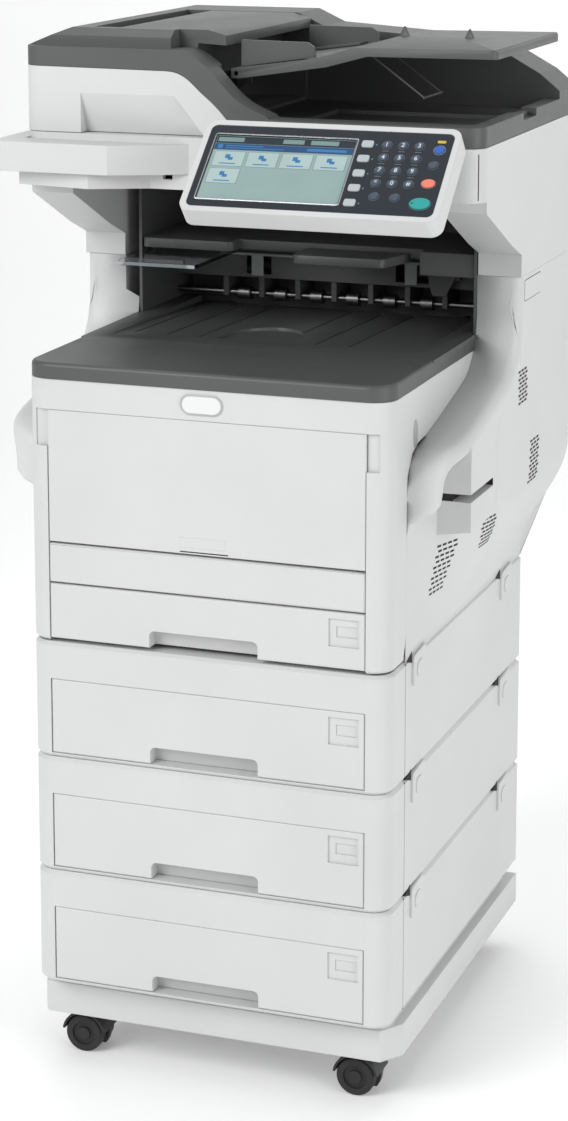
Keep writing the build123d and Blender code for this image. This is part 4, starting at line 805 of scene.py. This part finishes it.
def add_screen_rim():
    """Thin bright frame around the screen."""
    bm = bmesh.new()
    hoops = []
    for out, lift in ((0, -1.0), (0, 0.55), (1.1, 0.75), (1.6, 0.3)):
        outline = box_outline(8.4 - out, 181.6 + out, 11.4 - out, 109.6 + out)
        hoops.append([on_panel(u, v, lift) for u, v in rounded_outline(outline, 2.5 + out, 4)])
    loft(bm, hoops, False)
    rim = add_piece("screen_rim", mesh_from(bm, "screen_rim"), STEEL, "panel")
    smooth(rim.data)


def add_key_details():
    """Rings around the keys, digits, lamps and short bars in place of words."""
    digits = [(u, v, RING_R, RING_R) for u in NUMBER_U for v in NUMBER_V]
    extras = [(u, v, RING_R, RING_R) for u, v in EXTRA_KEYS]
    panel_rings("digit_rings", digits + extras, 0.42, RING)
    panel_rings("power_ring", [(281.5, 98.5, 6.6, 6.6)], 0.5, KEY_GREY)
    panel_rings("stop_ring", [(280, 48, 8.6, 6.6)], 0.5, RING)
    panel_rings("start_ring", [(277, 18, 12.6, 8.6)], 0.5, RING)
    add_numerals()
    lamps = [(204.5, 206.5, v - 1, v + 1) for v in MODE_V]
    bars = [(u - 4, u + 4, v - 9.4, v - 8.5) for u in NUMBER_U for v in NUMBER_V[:3]]
    panel_tiles("power_lamp", [(276.5, 286.5, 109, 113)], 0.25, 0.5, YELLOW)
    panel_tiles("start_lamp", [(266.5, 269.5, 16.5, 19.5)], 1.6, 2.15, GREEN, "start_key", 1.4)
    panel_tiles("mode_lamps", lamps, 0.25, 0.5, KEY_TEAL, radius=0.9)
    panel_tiles("key_labels", bars, 0.25, 0.36, RING, radius=0.3)


# ---------------------------------------------------------------------------
# Stage
# ---------------------------------------------------------------------------
def stage_material():
    s = Surface("studio_floor")
    s.blend(s.noise(0.8), (0.9, 0.9, 0.9, 1), (0.93, 0.93, 0.93, 1))
    s.put("Roughness", 0.7)
    s.put("Emission Color", (1, 1, 1, 1))
    s.put("Emission Strength", 0.14)
    return s.material


def add_stage():
    """Pale floor that sweeps up into a backdrop."""
    depth, rise, bend = 4.0, 4.0, 1.2
    profile = [(-6.0, 0.0), (depth - bend, 0.0)]
    steps = 12
    for k in range(1, steps):
        angle = math.pi / 2 * k / steps
        profile.append((depth - bend + bend * math.sin(angle), bend - bend * math.cos(angle)))
    profile.append((depth, rise))
    bm = bmesh.new()
    rows = [[bm.verts.new((x, y, z)) for y, z in profile] for x in (-7.0, 7.0)]
    for i in range(len(profile) - 1):
        bm.faces.new((rows[0][i], rows[1][i], rows[1][i + 1], rows[0][i + 1]))
    mesh = bpy.data.meshes.new("floor")
    bm.to_mesh(mesh)
    bm.free()
    mesh.materials.append(stage_material())
    mesh.shade_smooth()
    floor = bpy.data.objects.new("floor", mesh)
    bpy.context.scene.collection.objects.link(floor)


def add_light(name, place, target, size, power):
    data = bpy.data.lights.new(name, "AREA")
    data.shape = "RECTANGLE"
    data.size, data.size_y = size
    data.energy = power
    light = bpy.data.objects.new(name, data)
    light.location = place
    light.rotation_euler = (Vector(target) - Vector(place)).to_track_quat("-Z", "Y").to_euler()
    bpy.context.scene.collection.objects.link(light)


def add_lights():
    add_light("key", (-1.8, -3.4, 2.9), (0, 0, 0.7), (2.2, 2.2), 110)
    add_light("fill", (3.6, -1.4, 1.5), (0, 0, 0.6), (2.2, 2.6), 54)
    add_light("top", (0.0, 1.2, 3.8), (0, 0.4, 0), (3.0, 2.0), 40)
    world = bpy.data.worlds.new("studio")
    world.use_nodes = True
    world.node_tree.nodes["Background"].inputs["Color"].default_value = (0.95, 0.96, 0.97, 1)
    world.node_tree.nodes["Background"].inputs["Strength"].default_value = 0.47
    bpy.context.scene.world = world
    bpy.context.scene.view_settings.view_transform = "Standard"


def dress_softened():
    """Rounded copies of the flat-sided casings."""
    casings = {
        "front_fascia": 1.2,
        "mp_tray": 1.2,
        "rear_cover": 1.2,
        "caster_base": 1.2,
        "exit_shelf": 1.5,
        "top_cover": 0.8,
        "platen_glass": 0.4,
        "document_tray": 1.0,
        "adf_cover": 1.2,
        "tray_open_button": 0.8,
    }
    for node, width in casings.items():
        softened(node, width)


add_camera()
dress_nodes()
dress_softened()
side_cover(1, RIGHT_REACH, True)
side_cover(-1, -node_box("left_side_cover")[0], False)
add_vents(RIGHT_REACH)
add_latches()
add_front_details()
add_side_seams()
add_screen()
add_screen_rim()
add_key_details()
add_stage()
add_lights()
